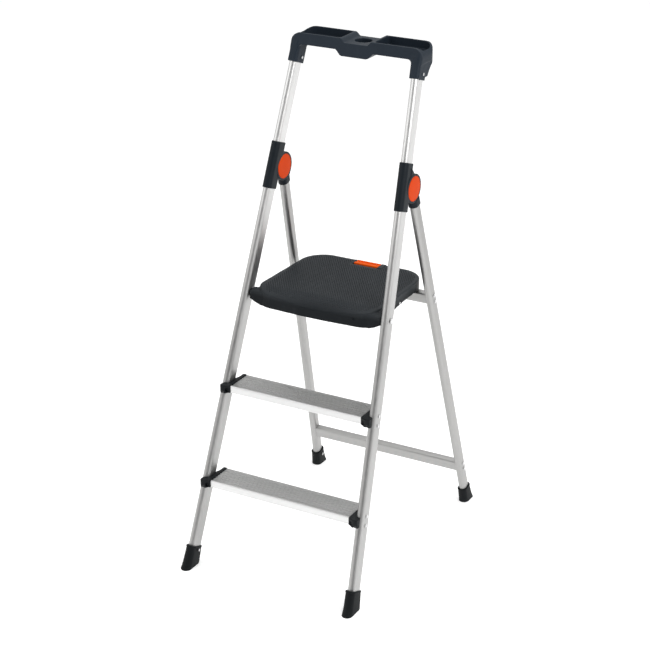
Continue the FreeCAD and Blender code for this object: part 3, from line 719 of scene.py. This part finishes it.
for word, side in sides:
    treadPlaces = [
        (onTube(stile, side, side * 10, 0, treadHeight(level) - drop), side)
        for level in range(2)
        for drop in rivets["treadDrops"]
    ]
    setRivets(word + "TreadRivets", rivetMould, treadPlaces, "front_frame", "tread_rivets_" + word)
    bracePlaces = [
        (onTube(leg, side, side * 10, 0, height, slide), side)
        for height in rivets["braceHeights"]
        for slide in rivets["braceSlides"]
    ]
    setRivets(word + "BraceRivets", rivetMould, bracePlaces, "rear_frame", "brace_rivets_" + word)
footPlaces = [(onTube(stile, side, -side * 15.1, 0, rivets["frontFoot"]), -side) for side in ways]
setRivets("frontFootRivets", trimMould, footPlaces, "front_frame", "front_foot_rivets")
footPlaces = [(onTube(leg, side, -side * 14.6, 0, rivets["rearFoot"]), -side) for side in ways]
setRivets("rearFootRivets", trimMould, footPlaces, "rear_frame", "rear_foot_rivets")
handlePlaces = [
    (onTube(stile, side, way * 13.1, 4, rivets["handle"]), way)
    for side in ways
    for way in ways
]
setRivets("handleRivets", trimMould, handlePlaces, "front_frame", "handle_rivets")
print("rivets done")


# folding joint

joint = {
    "half": 180, "y": 51.9, "height": 962.4, "bossRadius": 36.5, "bossHalf": 13, "wall": 2.5,
    "low": 917.8, "length": 117, "capRadius": 31, "capTall": 1.6, "recess": 1, "slotHalf": 9.2,
    "slotFront": 9.7, "knuckleHalf": 8.3, "eyeRadius": 9.1, "collarTop": 36, "collarLength": 19,
    "sleeveVoxel": 0.95, "knuckleVoxel": 0.9,
}


def jointFrame(side, lean):
    spot = shifted((side * joint["half"], joint["y"], joint["height"]))
    return spot @ Matrix.Rotation(math.radians(-lean), 4, "X")


def makeSleeve(word, side):
    low = alongTube(stile, joint["low"])
    wide, deep = stile["wide"] + 2 * joint["wall"], stile["deep"] + 2 * joint["wall"]
    boss, half, slot = joint["bossRadius"], joint["bossHalf"], joint["slotHalf"]
    sleeve = ovalBar(word + "Sleeve", wide, deep, low, low + joint["length"])
    moveBy(sleeve, tubeFrame(stile, side))
    frameHere = jointFrame(side, stile["lean"])
    disc = addRod("boss", (0, 0, 0), boss, 2 * half, "x", 96)
    # webs that run from the sleeve's rear edge out to the round boss
    outline = [(-26, -34), (-14, -33), (-2, -33), (-2, 33), (-12, 37), (-26, 46)]
    web = drawOutline("web", outline, "yz", 1 - half, half - 1)
    addTo(sleeve, moveBy(disc, frameHere), moveBy(web, frameHere))
    slotTool = addBlock("slotTool", (-slot, -joint["slotFront"], -boss - 20), (slot, boss + 20, boss + 20))
    cutAway(sleeve, moveBy(slotTool, frameHere))
    softened(sleeve, joint["sleeveVoxel"], 3, 0.4)
    for way in ways:
        spot = way * (half - joint["recess"] + 5)
        recess = addRod("recess", (spot, 0, 0), joint["capRadius"] + 0.4, 10, "x", 96)
        cutAway(sleeve, moveBy(recess, frameHere))
    finishPiece(sleeve, 35, "joint", "front_frame", "joint_plastic", "joint_sleeve_" + word)


def makeKnuckle(word, side):
    frameHere = jointFrame(side, leg["lean"])
    inLeg = tubeFrame(leg, side).inverted() @ frameHere.translation
    offset, top = -inLeg.y / mm, inLeg.z / mm - joint["collarTop"]
    wide, deep = leg["wide"] + 2 * joint["wall"], leg["deep"] / 2 + joint["wall"]
    half, radius, root = joint["knuckleHalf"], joint["eyeRadius"], -joint["collarTop"] - 3
    eye = addRod(word + "Knuckle", (0, 0, 0), radius, 2 * half, "x", 64)
    outline = [(-radius, 0), (offset - deep, root), (offset + deep, root)]
    outline += [(offset + deep, root + 12), (radius, 0)]
    addTo(eye, drawOutline("blade", outline, "yz", -half, half))
    moveBy(eye, frameHere)
    collar = ovalBar("collar", wide, 2 * deep, top - joint["collarLength"], top)
    addTo(eye, moveBy(collar, tubeFrame(leg, side)))
    softened(eye, joint["knuckleVoxel"], 3, 0.45)
    finishPiece(eye, 35, "joint", "rear_frame", "joint_plastic", "leg_knuckle_" + word)


def makeCap(word, side, end, way):
    # a shallow dome with a stepped edge, pressed into the boss
    tall = joint["capTall"]
    cap = addRod(word + end.capitalize() + "Cap", (tall / 2, 0, 0), joint["capRadius"], tall, "x", 96)
    bevelWhere(
        cap, lambda edge: middleOf(edge).x > tall * 0.6 * mm and middleOf(edge).yz.length > 5 * mm, 0.5, 3,
    )
    # a groove near the edge, then three rises to the middle
    rings = ((1.6, 0), (0.35, -0.3), (0.5, 0), (0.35, 0.3), (5, 0.28), (7, 0.18), (8, 0.08))
    for thickness, depth in rings:
        pick(cap, "faces", lambda face: face.normal.x > 0.9 and len(face.verts) > 8)
        bpy.ops.mesh.inset(thickness=thickness * mm, depth=depth * mm)
        done()
    turn = Matrix.Rotation(math.pi if way < 0 else 0, 4, "Z")
    spot = shifted((way * (joint["bossHalf"] - joint["recess"]), 0, 0))
    moveBy(cap, jointFrame(side, stile["lean"]) @ spot @ turn)
    finishPiece(cap, 25, "cap", "front_frame", "orange_cap", "joint_cap_%s_%s" % (word, end))


for word, side in sides:
    makeSleeve(word, side)
    makeKnuckle(word, side)
    for end, way in (("outer", side), ("inner", -side)):
        makeCap(word, side, end, way)
print("folding joint done")


# handle with two trays

handle = {
    "half": 179, "front": 111, "back": 193, "top": 1288.5, "under": 1262, "belly": 1248.5,
    "wall": 5.5, "trayFloor": 1267, "middleHalf": 38, "middleTop": 1279, "socketWall": 3,
    "socketLow": 1214.7, "socketLength": 52, "voxel": 1.35, "cheekFrom": 166, "rearRound": 36,
    "cupX": -2, "cupY": 153.5, "cupWide": 22, "cupDeep": 20,
}


def handleFront():
    # the front view, from the middle to the right: deck, sloping tray end, rim, outer corner, belly
    half, top, under, belly = handle["half"], handle["top"], handle["under"], handle["belly"]
    middle, low = handle["middleHalf"], handle["middleTop"]
    right = [(middle - 7, low), (middle, top - 2.5), (middle + 3.5, top)]
    right += arcPoints((half - 24, top - 24), 24, 90, 0, 7)
    right += [(half + 1.5, under - 10), (154, under - 13)]
    right += arcPoints((144, under - 10), 10, 0, 90, 4)
    right += [(54, under), (50, under - 1.2), (38, belly + 1), (34, belly)]
    return right + [(-a, b) for a, b in reversed(right)]


def roundedBar(name, wide, deep, low, high, corner):
    bar = addBlock(name, (-wide / 2, -deep / 2, low), (wide / 2, deep / 2, high))
    return bevelWhere(bar, lambda edge: alongAxis(edge, 2), corner, 5)


def roundedPlan(low, high, front, back, innerRound, outerRound, side):
    # a rectangle with round corners, the outer end being the one on the given side
    left, right = (innerRound, outerRound) if side > 0 else (outerRound, innerRound)
    plan = [(low, front), (high, front)]
    plan += arcPoints((high - right, back - right), right, 0, 90, 8)
    return plan + arcPoints((low + left, back - left), left, 90, 180, 8)


def leaningPrism(low, high, inside, innerRound, outerRound, side):
    # all that lies behind the handle's leaning face, with rounded upright corners at its ends
    left, right = (innerRound, outerRound) if side > 0 else (outerRound, innerRound)
    plan = arcPoints((low + left, left), left, 180, 270, 6)
    plan += arcPoints((high - right, right), right, 270, 360, 6) + [(high, 260), (low, 260)]
    prism = drawOutline("leaning", plan, "xy", -140, 60)
    lean = Matrix.Rotation(math.radians(-stile["lean"]), 4, "X")
    return moveBy(prism, shifted((0, handle["front"] + inside, handle["top"])) @ lean)


def makeHandle():
    half, front, back, top = handle["half"], handle["front"], handle["back"], handle["top"]
    wall, under, low = handle["wall"], handle["under"], alongTube(stile, handle["socketLow"])
    wide, deep = stile["wide"] + 2 * handle["socketWall"], stile["deep"] + 2 * handle["socketWall"]
    # a cheek sweeps the beam's end down into the socket
    sweep = [(104, under + 4), (189, under + 4), (184, 1253), (172, 1245), (160, 1237)]
    sweep += [(150, 1226), (143, 1216), (100, 1216)]
    beam = drawOutline("topHandle", handleFront(), "xz", front - 20, back)
    sockets, trays = [], []
    for side in ways:
        socket = roundedBar("socket", wide, deep, low, low + handle["socketLength"], 8)
        sockets.append(moveBy(socket, tubeFrame(stile, side)))
        ends = sorted((side * handle["cheekFrom"], side * (half - 1)))
        addTo(beam, drawOutline("cheek", sweep, "yz", *ends))
        ends = sorted((side * (handle["middleHalf"] + 9), side * (half - wall - 1)))
        plan = roundedPlan(*ends, front - 12, back - wall, 8, 32, side)
        tray = drawOutline("tray", plan, "xy", handle["trayFloor"], top + 30)
        # the tray's front wall leans too, round its outer corner
        trays.append(combine(tray, leaningPrism(*ends, wall + 1, 8, 18, side), "INTERSECT"))
    # rear corners rounded in plan, then the leaning front face with its own round ends
    plan = roundedPlan(-half, half, front - 60, back, handle["rearRound"], handle["rearRound"], 1)
    combine(beam, drawOutline("rearPlan", plan, "xy", 1100, 1400), "INTERSECT")
    combine(beam, leaningPrism(-half, half, 0, 8, 8, 1), "INTERSECT")
    addTo(beam, *sockets)
    cutAway(beam, *trays)
    cup = ovalBar("cup", 2 * handle["cupDeep"], 2 * handle["cupWide"], handle["belly"] + 5, top + 20)
    moveBy(cup, shifted((handle["cupX"], handle["cupY"], 0)) @ Matrix.Rotation(math.pi / 2, 4, "Z"))
    cutAway(beam, cup)
    softened(beam, handle["voxel"], 3, 0.4)
    finishPiece(beam, 40, "handle", "front_frame", "handle_plastic", "top_handle")


makeHandle()
print("handle done")


# platform

deck = {
    "top": 690, "under": 645, "front": -106, "back": 195, "half": 171, "backHalf": 166, "bow": 4,
    "frontRound": 52, "rearRound": 65, "skin": 3.5, "pivot": 671.7, "earDeep": 24, "voxel": 1.7,
    "wellHalf": 35, "wellFront": 163, "studX": 6.6, "studY": 4.9, "border": 12,
    "fallStart": -58, "fallDeep": 20, "fallEase": 12.5, "ribHalf": 1.3,
}


def deckPlan(inset=0.0, frontInset=0.0):
    # rounded corners, a front edge that bows out and sides that draw in to the rear
    front, back = deck["front"] + frontInset, deck["back"] - inset
    half, backHalf = deck["half"] - inset, deck["backHalf"] - inset
    frontRound, rearRound, bow = deck["frontRound"] - inset, deck["rearRound"] - inset, deck["bow"]
    right = [(0, front - bow), (40, front - bow + 0.6), (80, front - 1.6)]
    right += arcPoints((half - frontRound, front + frontRound), frontRound, -80, 0, 10)
    right += arcPoints((backHalf - rearRound, back - rearRound), rearRound, 0, 90, 10)
    left = [(-a, b) for a, b in reversed(right[1:])]
    return right + left


def deckHalfAt(y, border):
    # half the width of the platform at y, less a border along the sides and round the corners
    front, back = deck["front"], deck["back"]
    along = (y - front) / (back - front)
    half = deck["half"] + (deck["backHalf"] - deck["half"]) * along
    if y < front + deck["frontRound"]:
        radius = deck["frontRound"] - border
        drop = front + deck["frontRound"] - y
    elif y > back - deck["rearRound"]:
        radius = deck["rearRound"] - border
        drop = y - (back - deck["rearRound"])
    else:
        return half - border
    if drop >= radius:
        return 0
    return half - radius - border + math.sqrt(radius ** 2 - drop ** 2)


def makeFallCage():
    # a lattice that rolls the front of the platform down, most in the middle and least at the corners
    top, under, front, back = deck["top"], deck["under"], deck["front"], deck["back"]
    wide, long, middleY = 2 * deck["half"] + 8, back - front + 16, (back + front) / 2
    deselectAll()
    bpy.ops.object.add(type="LATTICE", location=(0, middleY * mm, (top + under) / 2 * mm))
    cage = bpy.context.object
    cage.name = "fallCage"
    cage.scale = (wide * mm, long * mm, (top - under) * mm)
    cage.data.points_u, cage.data.points_v, cage.data.points_w = 15, 33, 2
    for direction in ("u", "v", "w"):
        setattr(cage.data, "interpolation_type_" + direction, "KEY_LINEAR")
    for point in cage.data.points:
        x, y = point.co.x * wide, point.co.y * long + middleY
        run = (deck["fallStart"] - y) / (deck["fallStart"] - front)
        if run > 0 and point.co.z > 0:
            ease = deck["fallDeep"] - deck["fallEase"] * min(1.0, abs(x) / 150) ** 1.3
            lowered = point.co_deform.copy()
            lowered.z -= ease * min(run, 1.1) ** 1.9 / (top - under)
            point.co_deform = lowered
    bpy.context.view_layer.update()
    return cage


def makeNeck(side):
    # a flared neck from the pivot at the stile into the front corner of the skirt
    spot = centreAt(stile, side, deck["pivot"]) / mm
    outline = [(183.2, 660.5), (183.2, 683), (165, 685), (140, 685), (140, 645.5), (152, 645.5), (168, 652)]
    outline = [(side * a, b) for a, b in outline + [(178, 658.5)]]
    deep = deck["earDeep"] / 2
    return drawOutline("neck", outline, "xz", spot.y - deep, spot.y + deep)


def makeDeckShell(cage):
    top, under = deck["top"], deck["under"]
    shell = drawOutline("platformDeck", deckPlan(), "xy", under, top)
    # the skirt's lower edge rises from the front to the rear
    lower = [(-82, -1), (-80, 0), (-63, 2), (-20, 12), (24, 17.5), (94, 19), (260, 19)]
    lower = [(y, under + rise) for y, rise in lower + [(260, -40), (-82, -40)]]
    cutAway(shell, drawOutline("skirtEdge", lower, "yz", -250, 250))
    shell = joinPieces("platformDeck", [shell, makeNeck(-1), makeNeck(1)])
    softened(shell, deck["voxel"], 2, 1)
    applyModifier(shell, "LATTICE", object=cage)
    applyModifier(shell, "DECIMATE", ratio=0.3)
    hollow = drawOutline("hollow", deckPlan(deck["skin"], 25), "xy", under - 40, top - 11)
    half = deck["wellHalf"]
    well = addBlock("well", (-half, deck["wellFront"], top - 70), (half, 230, top + 10))
    cutAway(shell, hollow, well)
    return shell


def makeStuds(cage):
    # fine staggered lozenges moulded into the walking surface, row by row
    well, pitch = deck["wellHalf"], deck["studX"]
    stud = addBlock("stud", (-2.6, -1.35, deck["top"] - 0.5), (2.6, 1.35, deck["top"] + 0.95))
    pick(stud, "verts", lambda vert: vert.co.x * vert.co.y > 0)
    bpy.ops.transform.resize(value=(0.45, 1, 1), center_override=(0, 0, 0))
    done()
    pick(stud, "faces", lambda face: face.normal.z > 0.9)
    bpy.ops.transform.resize(value=(0.66, 0.5, 1))
    done()
    rows = []
    y = deck["front"] + deck["border"] - 3
    stagger = 0
    while y < deck["back"] - deck["border"] + 1:
        half = deckHalfAt(y, deck["border"])
        # the rows stop either side of the lever's well and its shoulders
        spans = [(-half, half)] if y <= deck["wellFront"] - 9 else [(-half, -well - 7), (well + 16, half)]
        for low, high in spans:
            first = math.ceil((low - stagger) / pitch)
            more = math.floor((high - stagger) / pitch) - first
            if more > 0:
                row = moveBy(copyOf(stud, "row"), shifted((first * pitch + stagger, y, 0)))
                rows.append(rowOf(row, more + 1, (pitch, 0, 0)))
        y += deck["studY"]
        stagger = pitch / 2 - stagger
    bpy.data.objects.remove(stud)
    studs = joinPieces("studs", rows)
    return applyModifier(studs, "LATTICE", object=cage)


def makeRibs():
    # stiffening ribs on the underside, and the lugs that hold the lever's pin
    top, well, thick = deck["top"], deck["wellHalf"], deck["ribHalf"]
    pieces = []
    for y in (-70, -25, 20, 65, 110, 150):
        half = deckHalfAt(y, deck["skin"]) - 0.5
        pieces.append(addBlock("rib", (-half, y - thick, top - 22), (half, y + thick, top - 9)))
    for x in range(-120, 121, 40):
        pieces.append(addBlock("rib", (x - thick, -80, top - 22), (x + thick, 158, top - 9)))
    pieces.append(addBlock("rib", (-60, 157, top - 24), (60, 160, top - 9)))
    for side, shoulderOut, rise in ((-1, 41, 0.2), (1, 48, 1.6)):
        low, high = sorted((side * (well + 0.2), side * (well + 6)))
        lug = addBlock("lug", (low, 166, 669), (high, 183, top - 1))
        bevelWhere(lug, lambda edge: alongAxis(edge, 0) and middleOf(edge).z < 680 * mm, 5, 4)
        # shoulders stand either side of the lever
        low, high = sorted((side * (well + 0.2), side * shoulderOut))
        shoulder = addBlock("shoulder", (low, 163.5, top - 12), (high, 194.5, top + rise))
        bevelWhere(shoulder, lambda edge: middleOf(edge).z > top * mm, 1.4, 3)
        middle = side * (well + 1.4)
        wall = addBlock("wall", (middle - 1.2, 160, top - 24), (middle + 1.2, 193, top - 2))
        pieces += [lug, shoulder, wall]
    return pieces


def makePlatform():
    cage = makeFallCage()
    pieces = [makeDeckShell(cage), makeStuds(cage)] + makeRibs()
    bpy.data.objects.remove(cage)
    # a small screw on the front skirt, near its right corner
    screw = addRod("skirtScrew", (112, -107, 664), 2.4, 3, "y", 20)
    bevelWhere(screw, lambda edge: middleOf(edge).y < -107 * mm, 0.7, 2)
    pieces.append(screw)
    obj = joinPieces("platformDeck", pieces)
    finishPiece(obj, 32, "platform", "platform", "platform_plastic", "platform_deck")


makePlatform()
print("platform done")


# hooks that hold the folded platform, rivets in its skirt

hook = {"inner": 162.7, "outer": 166.2, "top": 684, "under": 663.5, "rivetY": 31, "rivetZ": 668}


def makeHook(word, side):
    top, under = hook["top"], hook["under"]
    arm = under + 5.5
    outline = [(125, top), (148, top), (153, arm), (171, arm)]
    outline += arcPoints((172, arm - 5), 5, 80, 0, 4)
    outline += [(176, top - 36), (168, top - 36), (167, under), (125, under)]
    ends = sorted((side * hook["inner"], side * hook["outer"]))
    obj = drawOutline(word + "Hook", outline, "yz", *ends)
    combine(obj, drawOutline("rim", deckPlan(-0.2), "xy", 600, 700), "INTERSECT")
    outside = (hook["outer"] - 1.5) * mm
    bevelWhere(obj, lambda edge: side * middleOf(edge).x > outside and not alongAxis(edge, 0), 0.6, 2)
    finishPiece(obj, 35, "bracket", "platform", "black_plastic", "platform_hook_" + word)


for word, side in sides:
    makeHook(word, side)
skirtHalf = deckHalfAt(hook["rivetY"], 0)
skirtPlaces = [(shifted((side * skirtHalf, hook["rivetY"], hook["rivetZ"])), side) for side in ways]
setRivets("skirtRivets", trimMould, skirtPlaces, "platform", "skirt_rivets")
for mould in (rivetMould, trimMould):
    bpy.data.objects.remove(mould)
print("hooks done")


# release lever and its spring

lever = {"half": 34, "pinY": 174, "pinZ": 676, "top": 691, "back": 195, "thick": 6, "tail": 28, "eye": 4.4}


def makeLever():
    y, z, top, back = lever["pinY"], lever["pinZ"], lever["top"], lever["back"]
    half, low, tail = lever["half"], lever["top"] - lever["thick"], lever["pinZ"] - lever["tail"]
    outline = [(y - 3, z - 4), (y - 3, top - 2)] + arcPoints((y - 1.2, top - 1.8), 1.8, 180, 90, 3)
    outline += [(y + 6, top - 0.2), (y + 8, top - 1.6), (back - 5, top - 1.8), (back - 3.5, top)]
    outline += arcPoints((back - 2.2, top - 2.2), 2.2, 90, 0, 3)
    outline += [(back, low), (y + 7, low), (y + 3, z + 1), (y + 1, tail), (y - 3, tail)]
    plate = drawOutline("releaseLever", outline, "yz", -half, half)
    for side in ways:
        near, far = sorted((side * 20, side * 60))
        cutAway(plate, addBlock("sideCut", (near, y - 9, z - 40), (far, y + 9, z - 6)))
    cutAway(plate, addBlock("springRoom", (-8, y - 9, z - 6), (8, y + 9, low)))
    bevelWhere(plate, lambda edge: abs(middleOf(edge).x) > (half - 0.1) * mm, 1.0, 3)
    pieces = [plate]
    for side in ways:
        eye = addRod("eye", (side * 21, y, z), lever["eye"], 25.6, "x", 40)
        pieces.append(bevelWhere(eye, lambda edge: not alongAxis(edge, 0), 0.5, 2))
    grip = addBlock("grip", (-27, y + 9.2, top - 2.2), (27, y + 10.4, top - 1.1))
    bevelWhere(grip, lambda edge: middleOf(edge).z > (top - 1.5) * mm, 0.4, 2)
    pieces.append(rowOf(grip, 3, (0, 2.6, 0)))
    obj = joinPieces("releaseLever", pieces)
    finishPiece(obj, 35, "lever", "latch", "orange_lever", "latch_lever")


spring = {"wire": 0.55, "radius": 3.1, "turns": 9, "pitch": 1.3, "legOut": 5.6, "legLong": 9}


def makeSpring():
    # a torsion spring wound round the lever's pin, with its two legs
    wire, radius, turns, pitch = spring["wire"], spring["radius"], spring["turns"], spring["pitch"]
    y, z = lever["pinY"], lever["pinZ"]
    deselectAll()
    bpy.ops.mesh.primitive_circle_add(vertices=10, radius=wire * mm, location=(0, 0, radius * mm))
    coil = named("latchSpring")
    coil.rotation_euler = (math.pi / 2, 0, 0)
    bake(coil)
    applyModifier(coil, "SCREW", axis="X", angle=2 * math.pi * turns, screw_offset=pitch * turns * mm,
                  steps=20 * turns, render_steps=20 * turns, use_merge_vertices=True)
    moveBy(coil, shifted((-pitch * turns / 2, 0, 0)))
    pick(coil, "edges", lambda edge: edge.is_boundary)
    bpy.ops.mesh.edge_face_add()
    done()
    moveBy(coil, shifted((0, y, z)))
    faceOutwards(coil)
    pieces = [coil]
    for side in ways:
        place = (side * spring["legOut"], y + 4, z + radius)
        pieces.append(addRod("springLeg", place, wire, spring["legLong"], "y", 10))
    obj = joinPieces("latchSpring", pieces)
    finishPiece(obj, 50, "steel", "platform", "spring_steel", "latch_spring")


makeLever()
makeSpring()
print("release lever done")


# braces

brace = {"tall": 30, "deep": 20, "wall": 1.5, "corner": 4.5, "upper": 645, "lower": 114}


def makeBrace(word):
    middle = centreAt(leg, 1, brace[word]) / mm
    tall, deep, corner = brace["tall"] / 2, brace["deep"] / 2, brace["corner"]
    outline = []
    for a, b, start in ((1, 1, 0), (-1, 1, 90), (-1, -1, 180), (1, -1, 270)):
        outline += arcPoints((a * (deep - corner), b * (tall - corner)), corner, start, start + 90, 4)
    obj = drawOutline(word + "Brace", outline, "yz", -middle.x + 2, middle.x - 2)
    openEnds(obj, 0, brace["wall"])
    moveBy(obj, shifted((0, middle.y, middle.z)) @ Matrix.Rotation(math.radians(-leg["lean"]), 4, "X"))
    finishPiece(obj, 35, "braceTube", "rear_frame", "anodised_tube", word + "_brace")


for word in ("upper", "lower"):
    makeBrace(word)
print("braces done")


# boots

boots = {
    "front": {
        "tube": stile, "half": 15, "toe": -34.5, "heel": 28, "rimFront": -26, "rimBack": 22,
        "rimHalf": 12.6, "low": 50, "node": "front_foot_", "body": "front_frame",
    },
    "rear": {
        "tube": leg, "half": 14.5, "toe": -25, "heel": 28.5, "rimFront": -17.5, "rimBack": 17.5,
        "rimHalf": 12.6, "low": 44, "node": "rear_foot_", "body": "rear_frame",
    },
}
# each ring's place between sole and rim, and how far it stands out there
bootRings = (
    (0.02, 1.5), (0.05, 1.5), (0.16, 0.9), (0.34, 0), (0.55, 0), (0.76, 0), (0.93, 0),
    (0.94, 0.9), (1.0, 0.9), (1.012, 0.3),
)


def makeBoot(end, word, side):
    # lofted upwards in rings, from a flared sole to a thin rim square to the tube
    values = boots[end]
    lean, foot = math.radians(-values["tube"]["lean"]), tubeFrame(values["tube"], side)
    up = foot.to_3x3() @ Vector((0, 0, 1))
    splay = math.atan2(up.x, up.z)
    half, toe, heel = values["half"], values["toe"], values["heel"]
    soleDeep, soleMiddle = heel - toe, (heel + toe) / 2
    rimDeep = values["rimBack"] - values["rimFront"]
    rimMiddle = (values["rimBack"] + values["rimFront"]) / 2
    boot = ovalBar(end + word.capitalize() + "Boot", 2 * half - 3, soleDeep - 3, 0, 1.2, 56)
    moveBy(boot, shifted((0, soleMiddle, 0)))
    centre = Vector((0, soleMiddle, 1.2))
    wide, deep, tilt = half - 1.5, (soleDeep - 3) / 2, 0.0
    turned = Matrix.Rotation(lean, 3, "X")
    rimUp, rimSide = turned @ Vector((0, 0, 1)), turned @ Vector((0, 1, 0))
    rimCentre = rimUp * (values["low"] / rimUp.z) + rimSide * rimMiddle
    for part, extra in bootRings:
        blend = part ** 0.8
        newCentre = Vector((0, soleMiddle, 0)).lerp(rimCentre, part)
        newCentre.y = soleMiddle + (rimCentre.y - soleMiddle) * blend
        sideways, lengthways = (extra, extra) if part > 0.5 else (extra * 0.2, extra * 0.8)
        newWide = (half - 1.2) * (1 - blend) + values["rimHalf"] * blend + sideways
        newDeep = (soleDeep / 2 - 1.2) * (1 - blend) + rimDeep / 2 * blend + lengthways
        newTilt = lean * max(0.0, (part - 0.1) / 0.9)
        pick(boot, "faces", lambda face: face.normal.z > 0.7 and len(face.verts) > 20)
        bpy.ops.mesh.extrude_region_move(TRANSFORM_OT_translate={"value": (newCentre - centre) * mm})
        middle = newCentre * mm
        bpy.ops.transform.resize(value=(newWide / wide, newDeep / deep, 1), center_override=middle)
        bpy.ops.transform.rotate(value=tilt - newTilt, orient_axis="X", center_override=middle)
        done()
        centre, wide, deep, tilt = newCentre, newWide, newDeep, newTilt
    for y in range(int(toe) + 10, int(heel) - 4, 8):
        cutAway(boot, addBlock("groove", (-40, y, -5), (40, y + 2.4, 1.3)))
    moveBy(boot, Matrix.Translation(foot.translation) @ Matrix.Rotation(splay, 4, "Y"))
    # the sole is cut level with the floor
    x, y = side * 231, foot.translation.y / mm
    cutAway(boot, addBlock("below", (x - 60, y - 80, -30), (x + 60, y + 80, 0.02)))
    finishPiece(boot, 40, "rubber", values["body"], "foot_rubber", values["node"] + word)


for end in boots:
    for word, side in sides:
        makeBoot(end, word, side)
print("boots done")


# pins and bushes that keep their own shape

carriedOver = {"latch_pin": "steel"}
for word, side in sides:
    carriedOver["joint_pin_" + word] = carriedOver["platform_pin_" + word] = "steel"
    carriedOver["platform_bush_" + word] = "bracket"
for node, finish in carriedOver.items():
    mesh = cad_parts[node].data
    mesh.materials.clear()
    mesh.materials.append(finishes[finish])
print("carried-over parts finished:", len(carriedOver))

# stage

view = {"place": (2.0762, -3.7783, 2.4135), "yaw": 29.06, "pitch": 22.96, "lens": 103.73}
studio = {
    "surround": 0.74, "floorGlow": 0.35, "aim": (0, 0, 0.9),
    "keyLight": {"place": (2.7, -1.1, 2.7), "power": 50, "size": 1.8},
    "fillLight": {"place": (-2.4, -2.6, 3.0), "power": 25, "size": 2.5},
    "topLight": {"place": (0.3, 0.8, 3.8), "power": 50, "size": 3.0},
}


def makeStudioWorld():
    # white all round, with a dark wall behind the camera that tubes and plastics pick up
    world = bpy.data.worlds.new("studio")
    bpy.context.scene.world = world
    world.use_nodes = True
    tree = world.node_tree
    heading = Value(tree, tree.nodes.new("ShaderNodeTexCoord").outputs["Generated"])
    towards = (0, 0, math.radians(90 - view["yaw"]))
    turned = heading.node("ShaderNodeMapping", {}, Vector=heading, Rotation=towards)
    facing = turned.node("ShaderNodeSeparateXYZ", {}, Vector=turned)
    shade = facing.node("ShaderNodeValToRGB", {"stops": [(0.50, 1.0), (0.93, 0.12)]}, Fac=facing)
    background = tree.nodes["Background"]
    tree.links.new(shade.socket, background.inputs["Color"])
    background.inputs["Strength"].default_value = studio["surround"]


def makeStage():
    deselectAll()
    bpy.ops.mesh.primitive_plane_add(size=60)
    floor = named("floor")
    material, shader, coords = newMaterial("paleFloor")
    cloud = noise(coords, 0.6, 2.0)
    surface(shader, cloud.blendColours((0.90, 0.90, 0.90), (0.92, 0.92, 0.92)), 0.85, gleam=0.1)
    feed(shader, "Emission Color", (1, 1, 1, 1))
    feed(shader, "Emission Strength", studio["floorGlow"])
    floor.data.materials.append(material)

    makeStudioWorld()
    for name in ("keyLight", "fillLight", "topLight"):
        values = studio[name]
        deselectAll()
        bpy.ops.object.light_add(type="AREA", location=values["place"])
        lamp = bpy.context.object
        lamp.name = name
        lamp.data.energy = values["power"]
        lamp.data.size = values["size"]
        aim = Vector(studio["aim"]) - Vector(values["place"])
        lamp.rotation_euler = aim.to_track_quat("-Z", "Y").to_euler()

    deselectAll()
    bpy.ops.object.camera_add(location=view["place"])
    camera = bpy.context.object
    camera.rotation_euler = (math.radians(90 - view["pitch"]), 0, math.radians(view["yaw"]))
    camera.data.lens = view["lens"]
    camera.data.sensor_width = 36
    camera.data.clip_end = 100
    bpy.context.scene.camera = camera
    bpy.context.scene.view_settings.view_transform = "Standard"


makeStage()
print("stage done")
